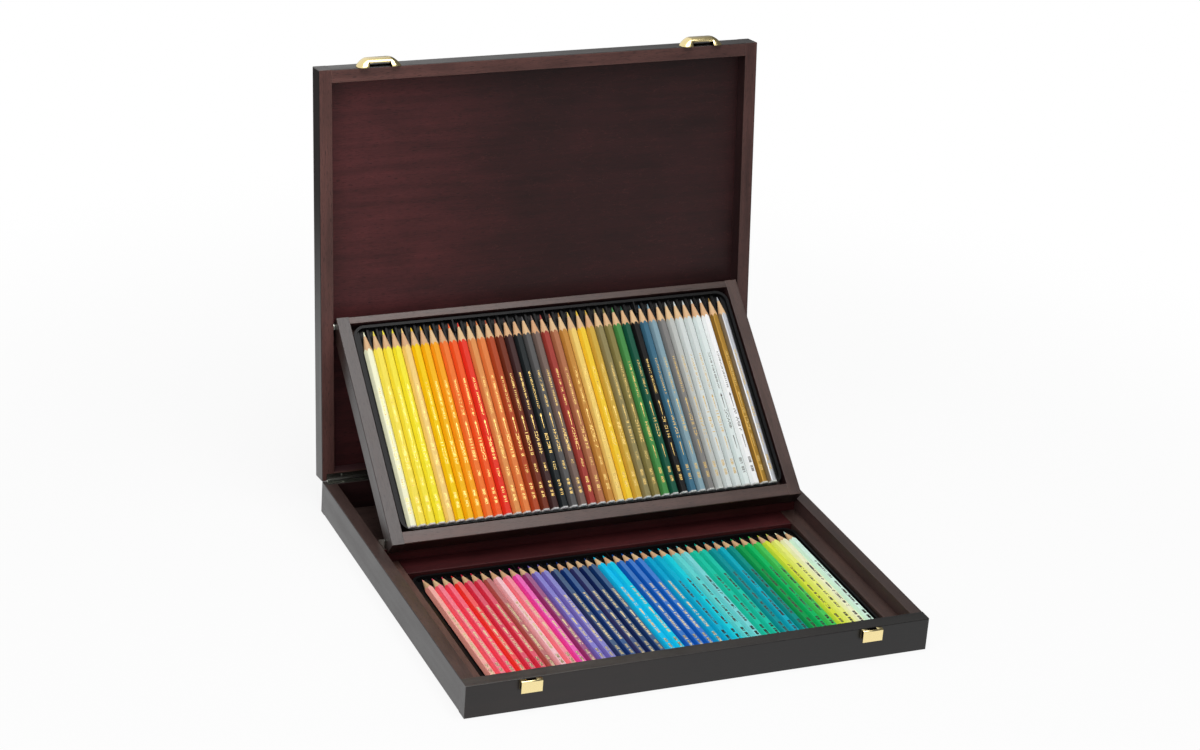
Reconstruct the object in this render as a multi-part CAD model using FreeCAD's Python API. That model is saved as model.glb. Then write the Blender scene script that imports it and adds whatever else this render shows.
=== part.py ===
import FreeCAD, Part
import math
import os
from FreeCAD import Vector

# Hinged wooden case for coloured pencils, millimetres, +Z up.
# Origin: centre of the case's underside. +X to the right, +Y to the hinge at the back.
# Every solid is first made as it lies with the case shut. The lid and what it carries are
# then turned about the hinge, and the tray frame about its own pivot, to the open pose.

# Pencils and the pressed trays that hold them
pencils_per_tray = 40
groups_per_tray = 4
pencil_length = 174.0
pencil_flats = 6.8
pencil_gap = 0.15
point_half_angle = 11.0
point_sides = 18
tray_border = 5.0
tray_depth = 9.8
tray_corner = 10.0
tray_flange = 2.3
tray_butt_margin = 1.4
tray_tip_margin = 4.6
tray_slot_clearance = 0.06
tray_ridge_drop = 1.5
pencil_sink = 1.0
divider_width = 1.2
divider_length = 11.0

# Case walls and floor
base_height = 27.0
side_wall = 10.5
front_wall = 11.5
rear_wall = 7.0
bottom_thickness = 3.0
bottom_rebate = 5.0
edge_round = 0.7
overcut = 1.0
ledge_rise = 0.3
tray_end_gap = 0.75
tray_side_gap = 1.0
rest_bar_width = 14.0
rest_bar_drop = 0.3
rest_bar_gap = 1.5

# Tray frame that swings out of the case with the lid
frame_stile = 10.5
frame_pivot_rail = 6.0
frame_free_rail = 10.0
frame_tray_side_gap = 1.2
frame_tray_end_gap = 1.8
frame_tray_recess = 2.0
frame_panel_thickness = 3.0
frame_panel_rebate = 5.0
frame_panel_recess = 1.2
frame_side_gap = 1.8
frame_front_gap = 2.4

# Pivot of the tray frame in the lid, measured from the frame's end and face
pivot_inset = 3.5
pivot_drop = 8.0
pivot_rise = 2.5
pivot_radius = 1.25
pivot_collar_radius = 3.0
pivot_running_gap = 0.05
pivot_collar_gap = 0.45
pivot_fixed_gap = 0.02
pivot_in_frame = 7.0
pivot_in_lid = 7.0

# Lid
lid_open_angle = 97.2
lid_front_rail = 10.5
lid_rear_rail = 7.0
lid_panel_thickness = 3.3
lid_panel_rebate = 4.5
lid_headroom = 2.8
rim_gap = 0.2

# Rest brackets at the ends of the rest bar
bracket_thickness = 1.0
bracket_reach = 12.0
bracket_rise = 7.5
bracket_low_rise = 2.0
bracket_ear_flat = 3.0
bracket_edge_gap = 0.3
bracket_wall_gap = 0.3
bracket_hole_radius = 1.3
frame_rest_gap = 0.3
frame_overhang = 3.7
frame_shut_gap = 0.3

# Continuous hinge
hinge_end_inset = 4.0
knuckle_count = 13
knuckle_radius = 2.0
knuckle_gap = 0.3
hinge_pin_radius = 1.0
hinge_running_gap = 0.05
leaf_width = 5.5
leaf_thickness = 1.0
leaf_sink = 0.2
leaf_pocket_gap = 0.3

# Catches: a keeper on the base and a hooded lever on the lid
catch_offset = 139.0
keeper_width = 17.2
keeper_height = 10.5
keeper_reach = 4.0
keeper_sheet = 0.8
keeper_bend = 0.6
keeper_drop = 0.5
keeper_back_height = 8.0
keeper_notch = 7.6
lever_width = 36.0
lever_length = 14.0
lever_height = 6.6
lever_sheet = 1.0
lever_overlap = 3.0
lever_crown_width = 25.0
lever_crown_length = 7.0
lever_heel_slope = 2.0
lever_corner = 5.0
lever_crown_corner = 2.5
lever_crown_round = 1.5
arch_side_gap = 0.7
arch_top_gap = 0.4
arch_peak_width = 10.0
arch_peak_rise = 1.0
lever_face_gap = 0.3
lever_heel_gap = 2.0
lever_pin_radius = 0.8
lever_pin_height = 2.5
lever_pin_inset = 2.6
lever_pin_end_inset = 0.8
lug_gap = 0.3
lug_thickness = 1.2
lug_reach = 2.5
plate_sheet = 0.8
plate_running_gap = 0.05

# Sizes that follow from the ones above
pencil_corners = pencil_flats / math.cos(math.radians(30))
pencil_pitch = pencil_corners + pencil_gap
ledge_top = bottom_thickness + tray_depth - pencil_sink + pencil_flats / 2 + ledge_rise
frame_thickness = frame_tray_recess + tray_depth + frame_panel_thickness + frame_panel_recess
tray_width = pencils_per_tray * pencil_pitch + 2 * tray_border
tray_length = pencil_length + tray_butt_margin + tray_tip_margin
frame_opening_width = tray_width + 2 * frame_tray_side_gap
frame_width = frame_opening_width + 2 * frame_stile
frame_length = tray_length + 2 * frame_tray_end_gap + frame_pivot_rail + frame_free_rail
inner_half_width = frame_width / 2 + frame_side_gap
box_width = 2 * (inner_half_width + side_wall)
frame_face_rise = pivot_rise + pivot_drop
pencil_proud = pencil_flats / 2 - pencil_sink - frame_tray_recess
lid_depth = frame_face_rise + max(pencil_proud, 0.0) + lid_headroom
lid_height = lid_depth + lid_panel_thickness

# The swing: with the lid open, the frame's back leans on the front edge of the rest bar.
# The distance from that edge to the pivot is the frame's length less its end insets,
# which fixes how far the pivot stands from the hinge, and so the depth of the case.
frame_front = front_wall + frame_front_gap
pivot_shut = frame_front + frame_length - pivot_inset
bar_front = frame_front + frame_length + rest_bar_gap
lean = math.radians(lid_open_angle - 90.0)
swing_length = frame_length - pivot_inset - frame_overhang
across = 1.0 + math.sin(lean)
across_offset = pivot_shut + pivot_rise * math.cos(lean) - bar_front
upright = math.cos(lean)
upright_offset = rest_bar_drop - pivot_rise * math.sin(lean)
quad_a = across ** 2 + upright ** 2
quad_b = 2 * (across * across_offset + upright * upright_offset)
quad_c = across_offset ** 2 + upright_offset ** 2 - swing_length ** 2
pivot_reach = (-quad_b + math.sqrt(quad_b ** 2 - 4 * quad_a * quad_c)) / (2 * quad_a)
box_depth = pivot_shut + pivot_reach

front_y = -box_depth / 2
hinge_y = box_depth / 2
hinge_axis = Vector(0, hinge_y, base_height)
pivot_shut_point = Vector(0, front_y + pivot_shut, base_height + pivot_rise)
rest_bar_top = base_height - rest_bar_drop
bar_y = front_y + bar_front


def turned(shape, centre, degrees):
    """A copy of the shape turned about the X direction through centre."""
    copy = shape.copy()
    copy.rotate(centre, Vector(1, 0, 0), degrees)
    return copy


pivot_vertex = turned(Part.Vertex(pivot_shut_point), hinge_axis, -lid_open_angle)
pivot_open_point = pivot_vertex.Point
rest_edge_z = rest_bar_top + bracket_thickness
rest_edge_y = bar_y + bracket_edge_gap
to_pivot_y = pivot_open_point.y - rest_edge_y
to_pivot_z = pivot_open_point.z - rest_edge_z
back_offset = frame_thickness - pivot_drop + frame_rest_gap
edge_to_pivot = math.hypot(to_pivot_y, to_pivot_z)
slope_to_pivot = math.atan2(to_pivot_z, to_pivot_y)
frame_tilt = math.degrees(slope_to_pivot - math.asin(back_offset / edge_to_pivot))


def with_lid(shape):
    """Turn a solid of the shut lid to where it stands open."""
    return turned(shape, hinge_axis, -lid_open_angle)


def with_frame(shape):
    """Carry a solid of the shut tray frame to where the frame leans open."""
    copy = turned(shape, pivot_shut_point, frame_tilt)
    copy.translate(pivot_open_point - pivot_shut_point)
    return copy


def block(x_range, y_range, z_range):
    """A box between two limits on each axis."""
    low = Vector(x_range[0], y_range[0], z_range[0])
    size = (x_range[1] - x_range[0], y_range[1] - y_range[0], z_range[1] - z_range[0])
    return Part.makeBox(size[0], size[1], size[2], low)


def prism(points, direction):
    """A prism on a flat closed outline."""
    return Part.Face(Part.makePolygon(points + points[:1])).extrude(direction)


def rod(radius, x_range, centre):
    """A cylinder along X through centre's Y and Z."""
    start = Vector(x_range[0], centre.y, centre.z)
    return Part.makeCylinder(radius, x_range[1] - x_range[0], start, Vector(1, 0, 0))


def mirrored(shape):
    """The same solid on the other side of the case."""
    return shape.mirror(Vector(0, 0, 0), Vector(1, 0, 0))


def eased(shape, keep, radius=edge_round):
    """Round the straight edges that the test keep accepts."""
    edges = [edge for edge in shape.Edges if keep(edge)]
    return shape.makeFillet(radius, edges)


def runs_along(edge, axis):
    """True for a straight edge parallel to the axis."""
    if len(edge.Vertexes) != 2:
        return False
    span = edge.Vertexes[1].Point - edge.Vertexes[0].Point
    return span.cross(axis).Length < 1e-6


def on_plane(edge, axis, value):
    """True for an edge that lies in the plane where the coordinate along axis is value."""
    return all(abs(vertex.Point.dot(axis) - value) < 1e-6 for vertex in edge.Vertexes)


X_AXIS = Vector(1, 0, 0)
Y_AXIS = Vector(0, 1, 0)
Z_AXIS = Vector(0, 0, 1)


def hinge_seat(leaf_side):
    """What the hinge needs cut out of a rail: the barrel's channel and the leaf's pocket."""
    half = box_width / 2 - hinge_end_inset + leaf_pocket_gap
    channel = rod(knuckle_radius + leaf_pocket_gap, (-half, half), hinge_axis)
    pocket_depth = leaf_side * (leaf_sink + leaf_thickness + leaf_pocket_gap)
    heights = sorted((base_height, base_height + pocket_depth))
    pocket = block((-half, half), (hinge_y - leaf_width - leaf_pocket_gap, hinge_y + overcut), heights)
    return channel.fuse(pocket)


def base_walls():
    """Front and rear walls across the full width with the side walls between them."""
    outer_x = box_width / 2
    inner_front = front_y + front_wall
    inner_rear = hinge_y - rear_wall
    panel = bottom_panel()
    front = block((-outer_x, outer_x), (front_y, inner_front), (0, base_height))
    front = eased(front, lambda e: on_plane(e, Y_AXIS, front_y))
    rear = block((-outer_x, outer_x), (inner_rear, hinge_y), (0, base_height))
    side = block((inner_half_width, outer_x), (inner_front, inner_rear), (0, base_height))
    side = eased(side, lambda e: runs_along(e, Y_AXIS) and on_plane(e, X_AXIS, outer_x)).cut(panel)
    return {
        "base_front_wall": front.cut(panel),
        "base_rear_wall": rear.cut(panel).cut(hinge_seat(-1)),
        "base_right_wall": side,
        "base_left_wall": mirrored(side),
    }


def bottom_panel():
    """The thin bottom, let into the walls flush with their undersides."""
    half = inner_half_width + bottom_rebate
    depth = (front_y + front_wall - bottom_rebate, hinge_y - rear_wall + bottom_rebate)
    return block((-half, half), depth, (0, bottom_thickness))


def base_inside():
    """Side ledges, the deck behind the lower tray and the bar that the tray frame rests on."""
    well_half = tray_width / 2 + tray_side_gap
    well_front = front_y + front_wall
    well_rear = well_front + 2 * tray_end_gap + tray_length
    ledge = block((well_half, inner_half_width), (well_front, bar_y), (bottom_thickness, ledge_top))
    ledge = eased(ledge, lambda e: runs_along(e, Y_AXIS) and on_plane(e, Z_AXIS, ledge_top)
                  and on_plane(e, X_AXIS, well_half))
    deck = block((-well_half, well_half), (well_rear, bar_y), (bottom_thickness, ledge_top))
    deck = eased(deck, lambda e: on_plane(e, Z_AXIS, ledge_top))
    bar = block((-inner_half_width, inner_half_width), (bar_y, bar_y + rest_bar_width),
                (bottom_thickness, rest_bar_top))
    bar = eased(bar, lambda e: runs_along(e, X_AXIS) and on_plane(e, Z_AXIS, rest_bar_top))
    return {"ledge_right": ledge, "ledge_left": mirrored(ledge), "deck_strip": deck, "rest_bar": bar}


def rest_bracket():
    """Angle at the right end of the rest bar: a foot on the bar and an ear beside the frame."""
    wall_x = inner_half_width - bracket_wall_gap
    ear_x = wall_x - bracket_thickness
    near = bar_y + bracket_edge_gap
    far = bar_y + rest_bar_width - bracket_edge_gap
    foot_heights = (rest_bar_top, rest_bar_top + bracket_thickness)
    foot = block((wall_x - bracket_reach, wall_x), (near, far), foot_heights)
    hole_at = Vector(wall_x - bracket_reach / 2, (near + far) / 2, rest_bar_top)
    foot = foot.cut(Part.makeCylinder(bracket_hole_radius, bracket_thickness, hole_at))
    outline = [
        Vector(ear_x, near, rest_bar_top),
        Vector(ear_x, far, rest_bar_top),
        Vector(ear_x, far, rest_bar_top + bracket_low_rise),
        Vector(ear_x, near + bracket_ear_flat, rest_bar_top + bracket_rise),
        Vector(ear_x, near, rest_bar_top + bracket_rise),
    ]
    ear = prism(outline, Vector(bracket_thickness, 0, 0))
    return foot.fuse(ear).removeSplitter()


def rounded_block(half_x, y_range, z_range, radius):
    """A box with its four upright edges rounded."""
    body = block((-half_x, half_x), y_range, z_range)
    return eased(body, lambda e: runs_along(e, Z_AXIS), radius)


def pencil_x(index):
    """Centre line of one pencil across the tray."""
    return (index - (pencils_per_tray - 1) / 2) * pencil_pitch


def group_start(group):
    """Index of the first pencil in a group, or one past the last pencil after the last group."""
    return (group * pencils_per_tray) // groups_per_tray


def tray(y_start, top):
    """Pressed tray with one six-sided channel for each pencil and short dividers at the points."""
    y_end = y_start + tray_length
    body = rounded_block(tray_width / 2, (y_start, y_end), (top - tray_depth, top), tray_corner)
    axis_z = top - pencil_sink
    ridge_z = axis_z - tray_ridge_drop
    floor_z = axis_z - pencil_flats / 2
    inside = (y_start + tray_butt_margin - tray_slot_clearance, y_end - tray_flange)
    pocket_heights = (ridge_z, top + overcut)
    pocket = rounded_block(tray_width / 2 - tray_flange, inside, pocket_heights, tray_corner - tray_flange)
    row_half = pencil_x(pencils_per_tray - 1) + pencil_corners / 2 + tray_slot_clearance
    butt_room = block((-row_half, row_half), (inside[0], inside[0] + tray_corner), pocket_heights)
    floor_half = pencil_flats / 2 / math.sqrt(3) + tray_slot_clearance
    ridge_half = floor_half + (ridge_z - floor_z) / math.sqrt(3)
    slots = []
    for index in range(pencils_per_tray):
        x = pencil_x(index)
        outline = [
            Vector(x - floor_half, inside[0], floor_z),
            Vector(x + floor_half, inside[0], floor_z),
            Vector(x + ridge_half, inside[0], ridge_z),
            Vector(x - ridge_half, inside[0], ridge_z),
        ]
        slots.append(prism(outline, Vector(0, inside[1] - inside[0], 0)))
    body = body.cut(pocket.fuse(butt_room)).cut(Part.Compound(slots))
    dividers = []
    for group in range(1, groups_per_tray):
        x = pencil_x(group_start(group)) - pencil_pitch / 2
        dividers.append(block((x - divider_width / 2, x + divider_width / 2),
                              (inside[1] - divider_length, inside[1] + tray_flange / 2), (ridge_z, top)))
    return body.fuse(dividers).removeSplitter()


def ring(sides, radius, centre):
    """Corners of a regular polygon that stands across Y, the first one straight out along X."""
    turns = [2 * math.pi * k / sides for k in range(sides)]
    return [centre + Vector(radius * math.cos(turn), 0, radius * math.sin(turn)) for turn in turns]


def pencil(index, butt_y, axis_z):
    """One six-sided pencil, flat side up, sharpened at its +Y end.

    The sharpener's cone is a many-sided pyramid whose edges meet the pencil's own corners,
    so the paint ends in a tongue on each flat.
    """
    butt = Vector(pencil_x(index), butt_y, axis_z)
    tip = butt + Vector(0, pencil_length, 0)
    body = prism(ring(6, pencil_corners / 2, butt), tip - butt)
    cone_radius = pencil_length * math.tan(math.radians(point_half_angle))
    foot = ring(point_sides, cone_radius, butt)
    cone = Part.makeLoft([Part.makePolygon(foot + foot[:1]), Part.Vertex(tip)], True, True)
    return body.common(cone)


def pencil_groups(prefix, butt_y, axis_z):
    """The pencils of one tray, in groups of equal size."""
    groups = {}
    for group in range(groups_per_tray):
        indices = range(group_start(group), group_start(group + 1))
        solids = [pencil(index, butt_y, axis_z) for index in indices]
        groups["%s_pencils_%d" % (prefix, group + 1)] = Part.Compound(solids)
    return groups


def lower_tray():
    """The tray that lies in the well of the base, with its pencils."""
    start = front_y + front_wall + tray_end_gap
    top = bottom_thickness + tray_depth
    nodes = {"lower_tray": tray(start, top)}
    nodes.update(pencil_groups("lower", start + tray_butt_margin, top - pencil_sink))
    return nodes


def tray_frame():
    """Stiles, rails and back panel of the swinging frame, as it lies shut."""
    face = base_height + frame_face_rise
    back = face - frame_thickness
    start = front_y + frame_front
    end = start + frame_length
    half_open = frame_opening_width / 2
    tray_start = start + frame_free_rail + frame_tray_end_gap
    tray_top = face - frame_tray_recess
    panel_top = tray_top - tray_depth
    opening = (start + frame_free_rail, end - frame_pivot_rail)
    panel_y = (opening[0] - frame_panel_rebate, opening[1] + frame_panel_rebate / 2)
    panel = block((-half_open - frame_panel_rebate, half_open + frame_panel_rebate), panel_y,
                  (panel_top - frame_panel_thickness, panel_top))
    stile = block((half_open, frame_width / 2), (start, end), (back, face))
    stile = eased(stile, lambda e: on_plane(e, X_AXIS, frame_width / 2) and not runs_along(e, Z_AXIS))
    pin_span = (frame_width / 2 - pivot_in_frame, frame_width / 2 + overcut)
    pin_hole = rod(pivot_radius + pivot_running_gap, pin_span, pivot_shut_point)
    stile = stile.cut(panel).cut(pin_hole)
    free_rail = block((-half_open, half_open), (start, opening[0]), (back, face))
    free_rail = eased(free_rail, lambda e: runs_along(e, X_AXIS) and on_plane(e, Y_AXIS, start))
    pivot_rail = block((-half_open, half_open), (opening[1], end), (back, face))
    pivot_rail = eased(pivot_rail, lambda e: runs_along(e, X_AXIS) and on_plane(e, Y_AXIS, end))
    nodes = {
        "frame_right_stile": stile,
        "frame_left_stile": mirrored(stile),
        "frame_free_rail": free_rail.cut(panel),
        "frame_pivot_rail": pivot_rail.cut(panel),
        "frame_back_panel": panel,
        "upper_tray": tray(tray_start, tray_top),
    }
    nodes.update(pencil_groups("upper", tray_start + tray_butt_margin, tray_top - pencil_sink))
    return nodes


def frame_pivot():
    """Collared pin at the right side of the frame, fixed in the lid's stile."""
    inner = frame_width / 2 - pivot_in_frame + pivot_running_gap
    outer = inner_half_width + pivot_in_lid - pivot_running_gap
    pin = rod(pivot_radius, (inner, outer), pivot_shut_point)
    collar = (frame_width / 2 + pivot_collar_gap, inner_half_width)
    return pin.fuse(rod(pivot_collar_radius, collar, pivot_shut_point)).removeSplitter()


def lid_boards():
    """Stiles, rails and panel of the lid, as it lies shut."""
    low = base_height + rim_gap
    high = base_height + lid_height
    outer_x = box_width / 2
    inside = (front_y + lid_front_rail, hinge_y - lid_rear_rail)
    panel = block((-inner_half_width - lid_panel_rebate, inner_half_width + lid_panel_rebate),
                  (inside[0] - lid_panel_rebate, inside[1] + lid_panel_rebate),
                  (high - lid_panel_thickness, high))
    stile = block((inner_half_width, outer_x), (front_y, hinge_y), (low, high))
    stile = eased(stile, lambda e: on_plane(e, X_AXIS, outer_x) and not on_plane(e, Y_AXIS, hinge_y))
    pin_span = (inner_half_width - overcut, inner_half_width + pivot_in_lid)
    pin_hole = rod(pivot_radius + pivot_fixed_gap, pin_span, pivot_shut_point)
    stile = stile.cut(panel).cut(pin_hole).cut(hinge_seat(1))
    front_rail = block((-inner_half_width, inner_half_width), (front_y, inside[0]), (low, high))
    front_rail = eased(front_rail, lambda e: runs_along(e, X_AXIS) and on_plane(e, Y_AXIS, front_y))
    rear_rail = block((-inner_half_width, inner_half_width), (inside[1], hinge_y), (low, high))
    return {
        "lid_right_stile": stile,
        "lid_left_stile": mirrored(stile),
        "lid_front_rail": front_rail.cut(panel),
        "lid_rear_rail": rear_rail.cut(panel).cut(hinge_seat(1)),
        "lid_panel": panel,
    }


def hinge_leaf(side, first_knuckle):
    """One leaf of the hinge. side is -1 for the base's leaf and 1 for the lid's."""
    half = box_width / 2 - hinge_end_inset
    pitch = 2 * half / knuckle_count
    heights = sorted((base_height + side * leaf_sink, base_height + side * (leaf_sink + leaf_thickness)))
    clear = knuckle_radius + knuckle_gap
    parts = [block((-half, half), (hinge_y - leaf_width, hinge_y - clear), heights)]
    bore = rod(hinge_pin_radius + hinge_running_gap, (-half - overcut, half + overcut), hinge_axis)
    web_end = hinge_y - (knuckle_radius + hinge_pin_radius) / 2
    for index in range(first_knuckle, knuckle_count, 2):
        span = (-half + index * pitch + knuckle_gap / 2, -half + (index + 1) * pitch - knuckle_gap / 2)
        parts.append(rod(knuckle_radius, span, hinge_axis))
        parts.append(block(span, (hinge_y - clear, web_end), heights))
    return parts[0].fuse(parts[1:]).cut(bore).removeSplitter()


def hinge_pin():
    """The wire that runs through every knuckle."""
    half = box_width / 2 - hinge_end_inset
    return rod(hinge_pin_radius, (-half, half), hinge_axis)


def keeper(x):
    """Folded keeper on the base's front: back plate, two lips and a front plate with a notch."""
    half = keeper_width / 2
    top = base_height - keeper_drop
    fold = [
        Vector(x - half, front_y, top - keeper_back_height),
        Vector(x - half, front_y, top),
        Vector(x - half, front_y - keeper_reach, top),
        Vector(x - half, front_y - keeper_reach, top - keeper_height),
        Vector(x - half, front_y - keeper_reach + keeper_sheet, top - keeper_height),
        Vector(x - half, front_y - keeper_reach + keeper_sheet, top - keeper_sheet),
        Vector(x - half, front_y - keeper_sheet, top - keeper_sheet),
        Vector(x - half, front_y - keeper_sheet, top - keeper_back_height),
    ]
    body = prism(fold, Vector(keeper_width, 0, 0))
    bend = [e for e in body.Edges if runs_along(e, X_AXIS) and on_plane(e, Z_AXIS, top)
            and on_plane(e, Y_AXIS, front_y - keeper_reach)]
    body = body.makeFillet(keeper_bend, bend)
    notch_depth = (front_y - keeper_reach + keeper_sheet, front_y - keeper_sheet)
    notch_heights = (top - 2 * keeper_sheet, top + overcut)
    return body.cut(block((x - keeper_notch / 2, x + keeper_notch / 2), notch_depth, notch_heights))


def lever_pin_axis():
    """Axis of the catch levers, as they lie on the shut lid."""
    lever_top = base_height - lever_overlap + lever_length
    return Vector(0, front_y - lever_pin_height, lever_top - lever_pin_inset)


def lever_half(height):
    """Half the lever's width at a height off the case, where its sides slope from foot to crown."""
    slope = (lever_width - lever_crown_width) / 2 / (lever_height - lever_face_gap)
    return lever_width / 2 - slope * (height - lever_face_gap)


def lug_half():
    """Half the distance over the two lugs that stand inside the lever, under its crown."""
    return lever_crown_width / 2 - lug_gap


def lever_outline(x, inset, height, widths, lengths, radius):
    """Closed outline of the lever at a height off the case, inset evenly and with rounded corners."""
    y = front_y - height
    half = widths / 2 - inset
    low = lengths[0] + inset
    high = lengths[1] - inset
    face = Part.Face(Part.makePolygon([
        Vector(x - half, y, low), Vector(x + half, y, low), Vector(x + half, y, high),
        Vector(x - half, y, high), Vector(x - half, y, low),
    ]))
    slab = face.extrude(Vector(0, -1, 0))
    rounded = eased(slab, lambda e: runs_along(e, Y_AXIS), radius - inset)
    return [f.OuterWire for f in rounded.Faces if abs(f.CenterOfMass.y - y) < 1e-6][0]


def lever_dome(x, inset, foot, crown):
    """Solid with sloping sides from the lever's foot to its crown."""
    low = base_height - lever_overlap
    high = low + lever_length
    crown_high = high - lever_heel_slope
    lower = lever_outline(x, inset, foot, lever_width, (low, high), lever_corner)
    upper = lever_outline(x, inset, crown, lever_crown_width, (crown_high - lever_crown_length, crown_high),
                          lever_crown_corner)
    return Part.makeLoft([lower, upper], True, True)


def catch_lever(x):
    """Hooded catch lever: a pressed shell over the keeper, open towards the case, with its pin."""
    near = front_y - lever_face_gap
    low = base_height - lever_overlap
    high = low + lever_length
    half = lever_width / 2
    outer = lever_dome(x, 0.0, lever_face_gap, lever_height)
    outer = eased(outer, lambda e: on_plane(e, Y_AXIS, front_y - lever_height), lever_crown_round)
    hollow = lever_dome(x, lever_sheet, lever_face_gap, lever_height - lever_sheet)
    arch_half = keeper_width / 2 + arch_side_gap
    arch_top = base_height - keeper_drop + arch_top_gap
    behind = near + overcut
    arch = prism([
        Vector(x - arch_half, behind, low - overcut),
        Vector(x + arch_half, behind, low - overcut),
        Vector(x + arch_half, behind, arch_top),
        Vector(x + arch_peak_width / 2, behind, arch_top + arch_peak_rise),
        Vector(x - arch_peak_width / 2, behind, arch_top + arch_peak_rise),
        Vector(x - arch_half, behind, arch_top),
    ], Vector(0, -lever_height - overcut, 0))
    axis = lever_pin_axis()
    heel_heights = (axis.z, high + overcut)
    heel = block((x - half - overcut, x + half + overcut), (near - lever_heel_gap, behind), heel_heights)
    window_front = front_y - lever_pin_height - lever_pin_radius - 2 * lug_gap
    window_half = lug_half() + lug_gap
    window = block((x - window_half, x + window_half), (window_front, behind), heel_heights)
    pin_half = lever_half(lever_pin_height + lever_pin_radius) - lever_pin_end_inset
    pin = rod(lever_pin_radius, (x - pin_half, x + pin_half), axis)
    return outer.cut(hollow).cut(arch).cut(heel).cut(window).fuse(pin).removeSplitter()


def catch_plate(x):
    """Plate on the lid's front with two lugs that carry the lever's pin."""
    axis = lever_pin_axis()
    low = axis.z - lug_reach
    high = axis.z + lever_pin_inset - lever_sheet - lug_gap
    plate = block((x - lug_half(), x + lug_half()), (front_y - plate_sheet, front_y), (low, high))
    tip = front_y - lever_pin_height - lever_pin_radius - lug_gap
    lugs = []
    for side in (-1, 1):
        ends = sorted((x + side * lug_half(), x + side * (lug_half() - lug_thickness)))
        lug = block(ends, (tip, front_y), (low, high))
        lugs.append(eased(lug, lambda e: runs_along(e, X_AXIS) and on_plane(e, Y_AXIS, tip), lug_thickness))
    span = (x - lug_half() - overcut, x + lug_half() + overcut)
    hole = rod(lever_pin_radius + plate_running_gap, span, axis)
    return plate.fuse(lugs).cut(hole).removeSplitter()


def base_nodes():
    """Everything that stands still."""
    nodes = base_walls()
    nodes["base_bottom"] = bottom_panel()
    nodes.update(base_inside())
    bracket = rest_bracket()
    nodes["rest_bracket_right"] = bracket
    nodes["rest_bracket_left"] = mirrored(bracket)
    nodes.update(lower_tray())
    nodes["keeper_left"] = keeper(-catch_offset)
    nodes["keeper_right"] = keeper(catch_offset)
    nodes["hinge_leaf_base"] = hinge_leaf(-1, 0)
    nodes["hinge_pin"] = hinge_pin()
    return nodes


def lid_nodes():
    """The lid with its fittings, as it lies shut."""
    nodes = lid_boards()
    pivot = frame_pivot()
    nodes["frame_pivot_right"] = pivot
    nodes["frame_pivot_left"] = mirrored(pivot)
    nodes["hinge_leaf_lid"] = hinge_leaf(1, 1)
    for side, x in (("left", -catch_offset), ("right", catch_offset)):
        nodes["catch_plate_" + side] = catch_plate(x)
        nodes["catch_lever_" + side] = catch_lever(x)
    return nodes


os.makedirs("parts", exist_ok=True)
solids = base_nodes()
for node, shape in lid_nodes().items():
    solids[node] = with_lid(shape)
for node, shape in tray_frame().items():
    solids[node] = with_frame(shape)
for node, shape in solids.items():
    shape.exportStep("parts/%s.step" % node)

print("case %.2f wide, %.2f deep, %.2f high shut" % (box_width, box_depth, base_height + lid_height))
print("lid hinge axis y %.4f z %.4f, opens %.2f degrees" % (hinge_axis.y, hinge_axis.z, lid_open_angle))
print("frame pivot y %.4f z %.4f, tilt %.4f" % (pivot_open_point.y, pivot_open_point.z, frame_tilt))
corner_run = frame_length - pivot_inset
corner_drop = frame_thickness - pivot_drop
ledge_drop = base_height + pivot_rise - ledge_top - frame_shut_gap
shut_dip = math.asin(ledge_drop / math.hypot(corner_run, corner_drop)) - math.atan2(corner_drop, corner_run)
print("frame dips %.4f degrees shut" % math.degrees(shut_dip))
catch_axis = with_lid(Part.Vertex(lever_pin_axis())).Point
print("catch lever axis y %.4f z %.4f" % (catch_axis.y, catch_axis.z))
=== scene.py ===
"""Looks of a hinged wooden presentation case that holds eighty coloured pencils.

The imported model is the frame. This script dresses its boards, trays and fittings, and builds
the pencils and the small metalwork, all in metres in the model's own frame.
"""

import logging
import math
import random
from dataclasses import dataclass, field, replace
from enum import Enum
from functools import partial
from typing import Any, Callable, Mapping, Sequence

import bmesh
import bpy
from mathutils import Matrix, Vector

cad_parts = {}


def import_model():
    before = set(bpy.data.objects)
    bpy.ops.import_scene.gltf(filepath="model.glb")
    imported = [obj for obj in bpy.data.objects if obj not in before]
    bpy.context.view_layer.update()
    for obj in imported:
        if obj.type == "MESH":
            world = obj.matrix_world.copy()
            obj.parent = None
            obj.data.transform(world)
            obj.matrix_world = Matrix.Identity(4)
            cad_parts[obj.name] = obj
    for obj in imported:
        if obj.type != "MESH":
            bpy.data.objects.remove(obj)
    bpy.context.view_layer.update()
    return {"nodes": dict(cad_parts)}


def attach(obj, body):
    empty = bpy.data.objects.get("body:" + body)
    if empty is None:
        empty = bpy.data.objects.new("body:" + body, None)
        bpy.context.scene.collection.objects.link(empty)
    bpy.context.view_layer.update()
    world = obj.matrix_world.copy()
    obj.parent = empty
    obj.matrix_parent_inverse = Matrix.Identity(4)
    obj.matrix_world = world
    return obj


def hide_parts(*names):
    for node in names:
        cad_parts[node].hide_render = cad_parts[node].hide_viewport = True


Adder = Callable[..., bpy.types.Node]
Pair = tuple[float, float]
Point = tuple[float, float, float]
Streak = tuple[float, float, float]
Word = tuple[float, float, float]

MM = 0.001
LOG = logging.getLogger("pencil_case")

# The pencils' own mesh attributes: pigment, and how ruddy the wood is.
SHADE = "shade"
BATCH = "batch"

# Degrees by which edges bend where they stay sharp, and where a carved solid's are eased.
SHARP_BEND = 32.0
CARVED_SHARP_BEND = 38.0
EASED_BEND = 40.0


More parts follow.
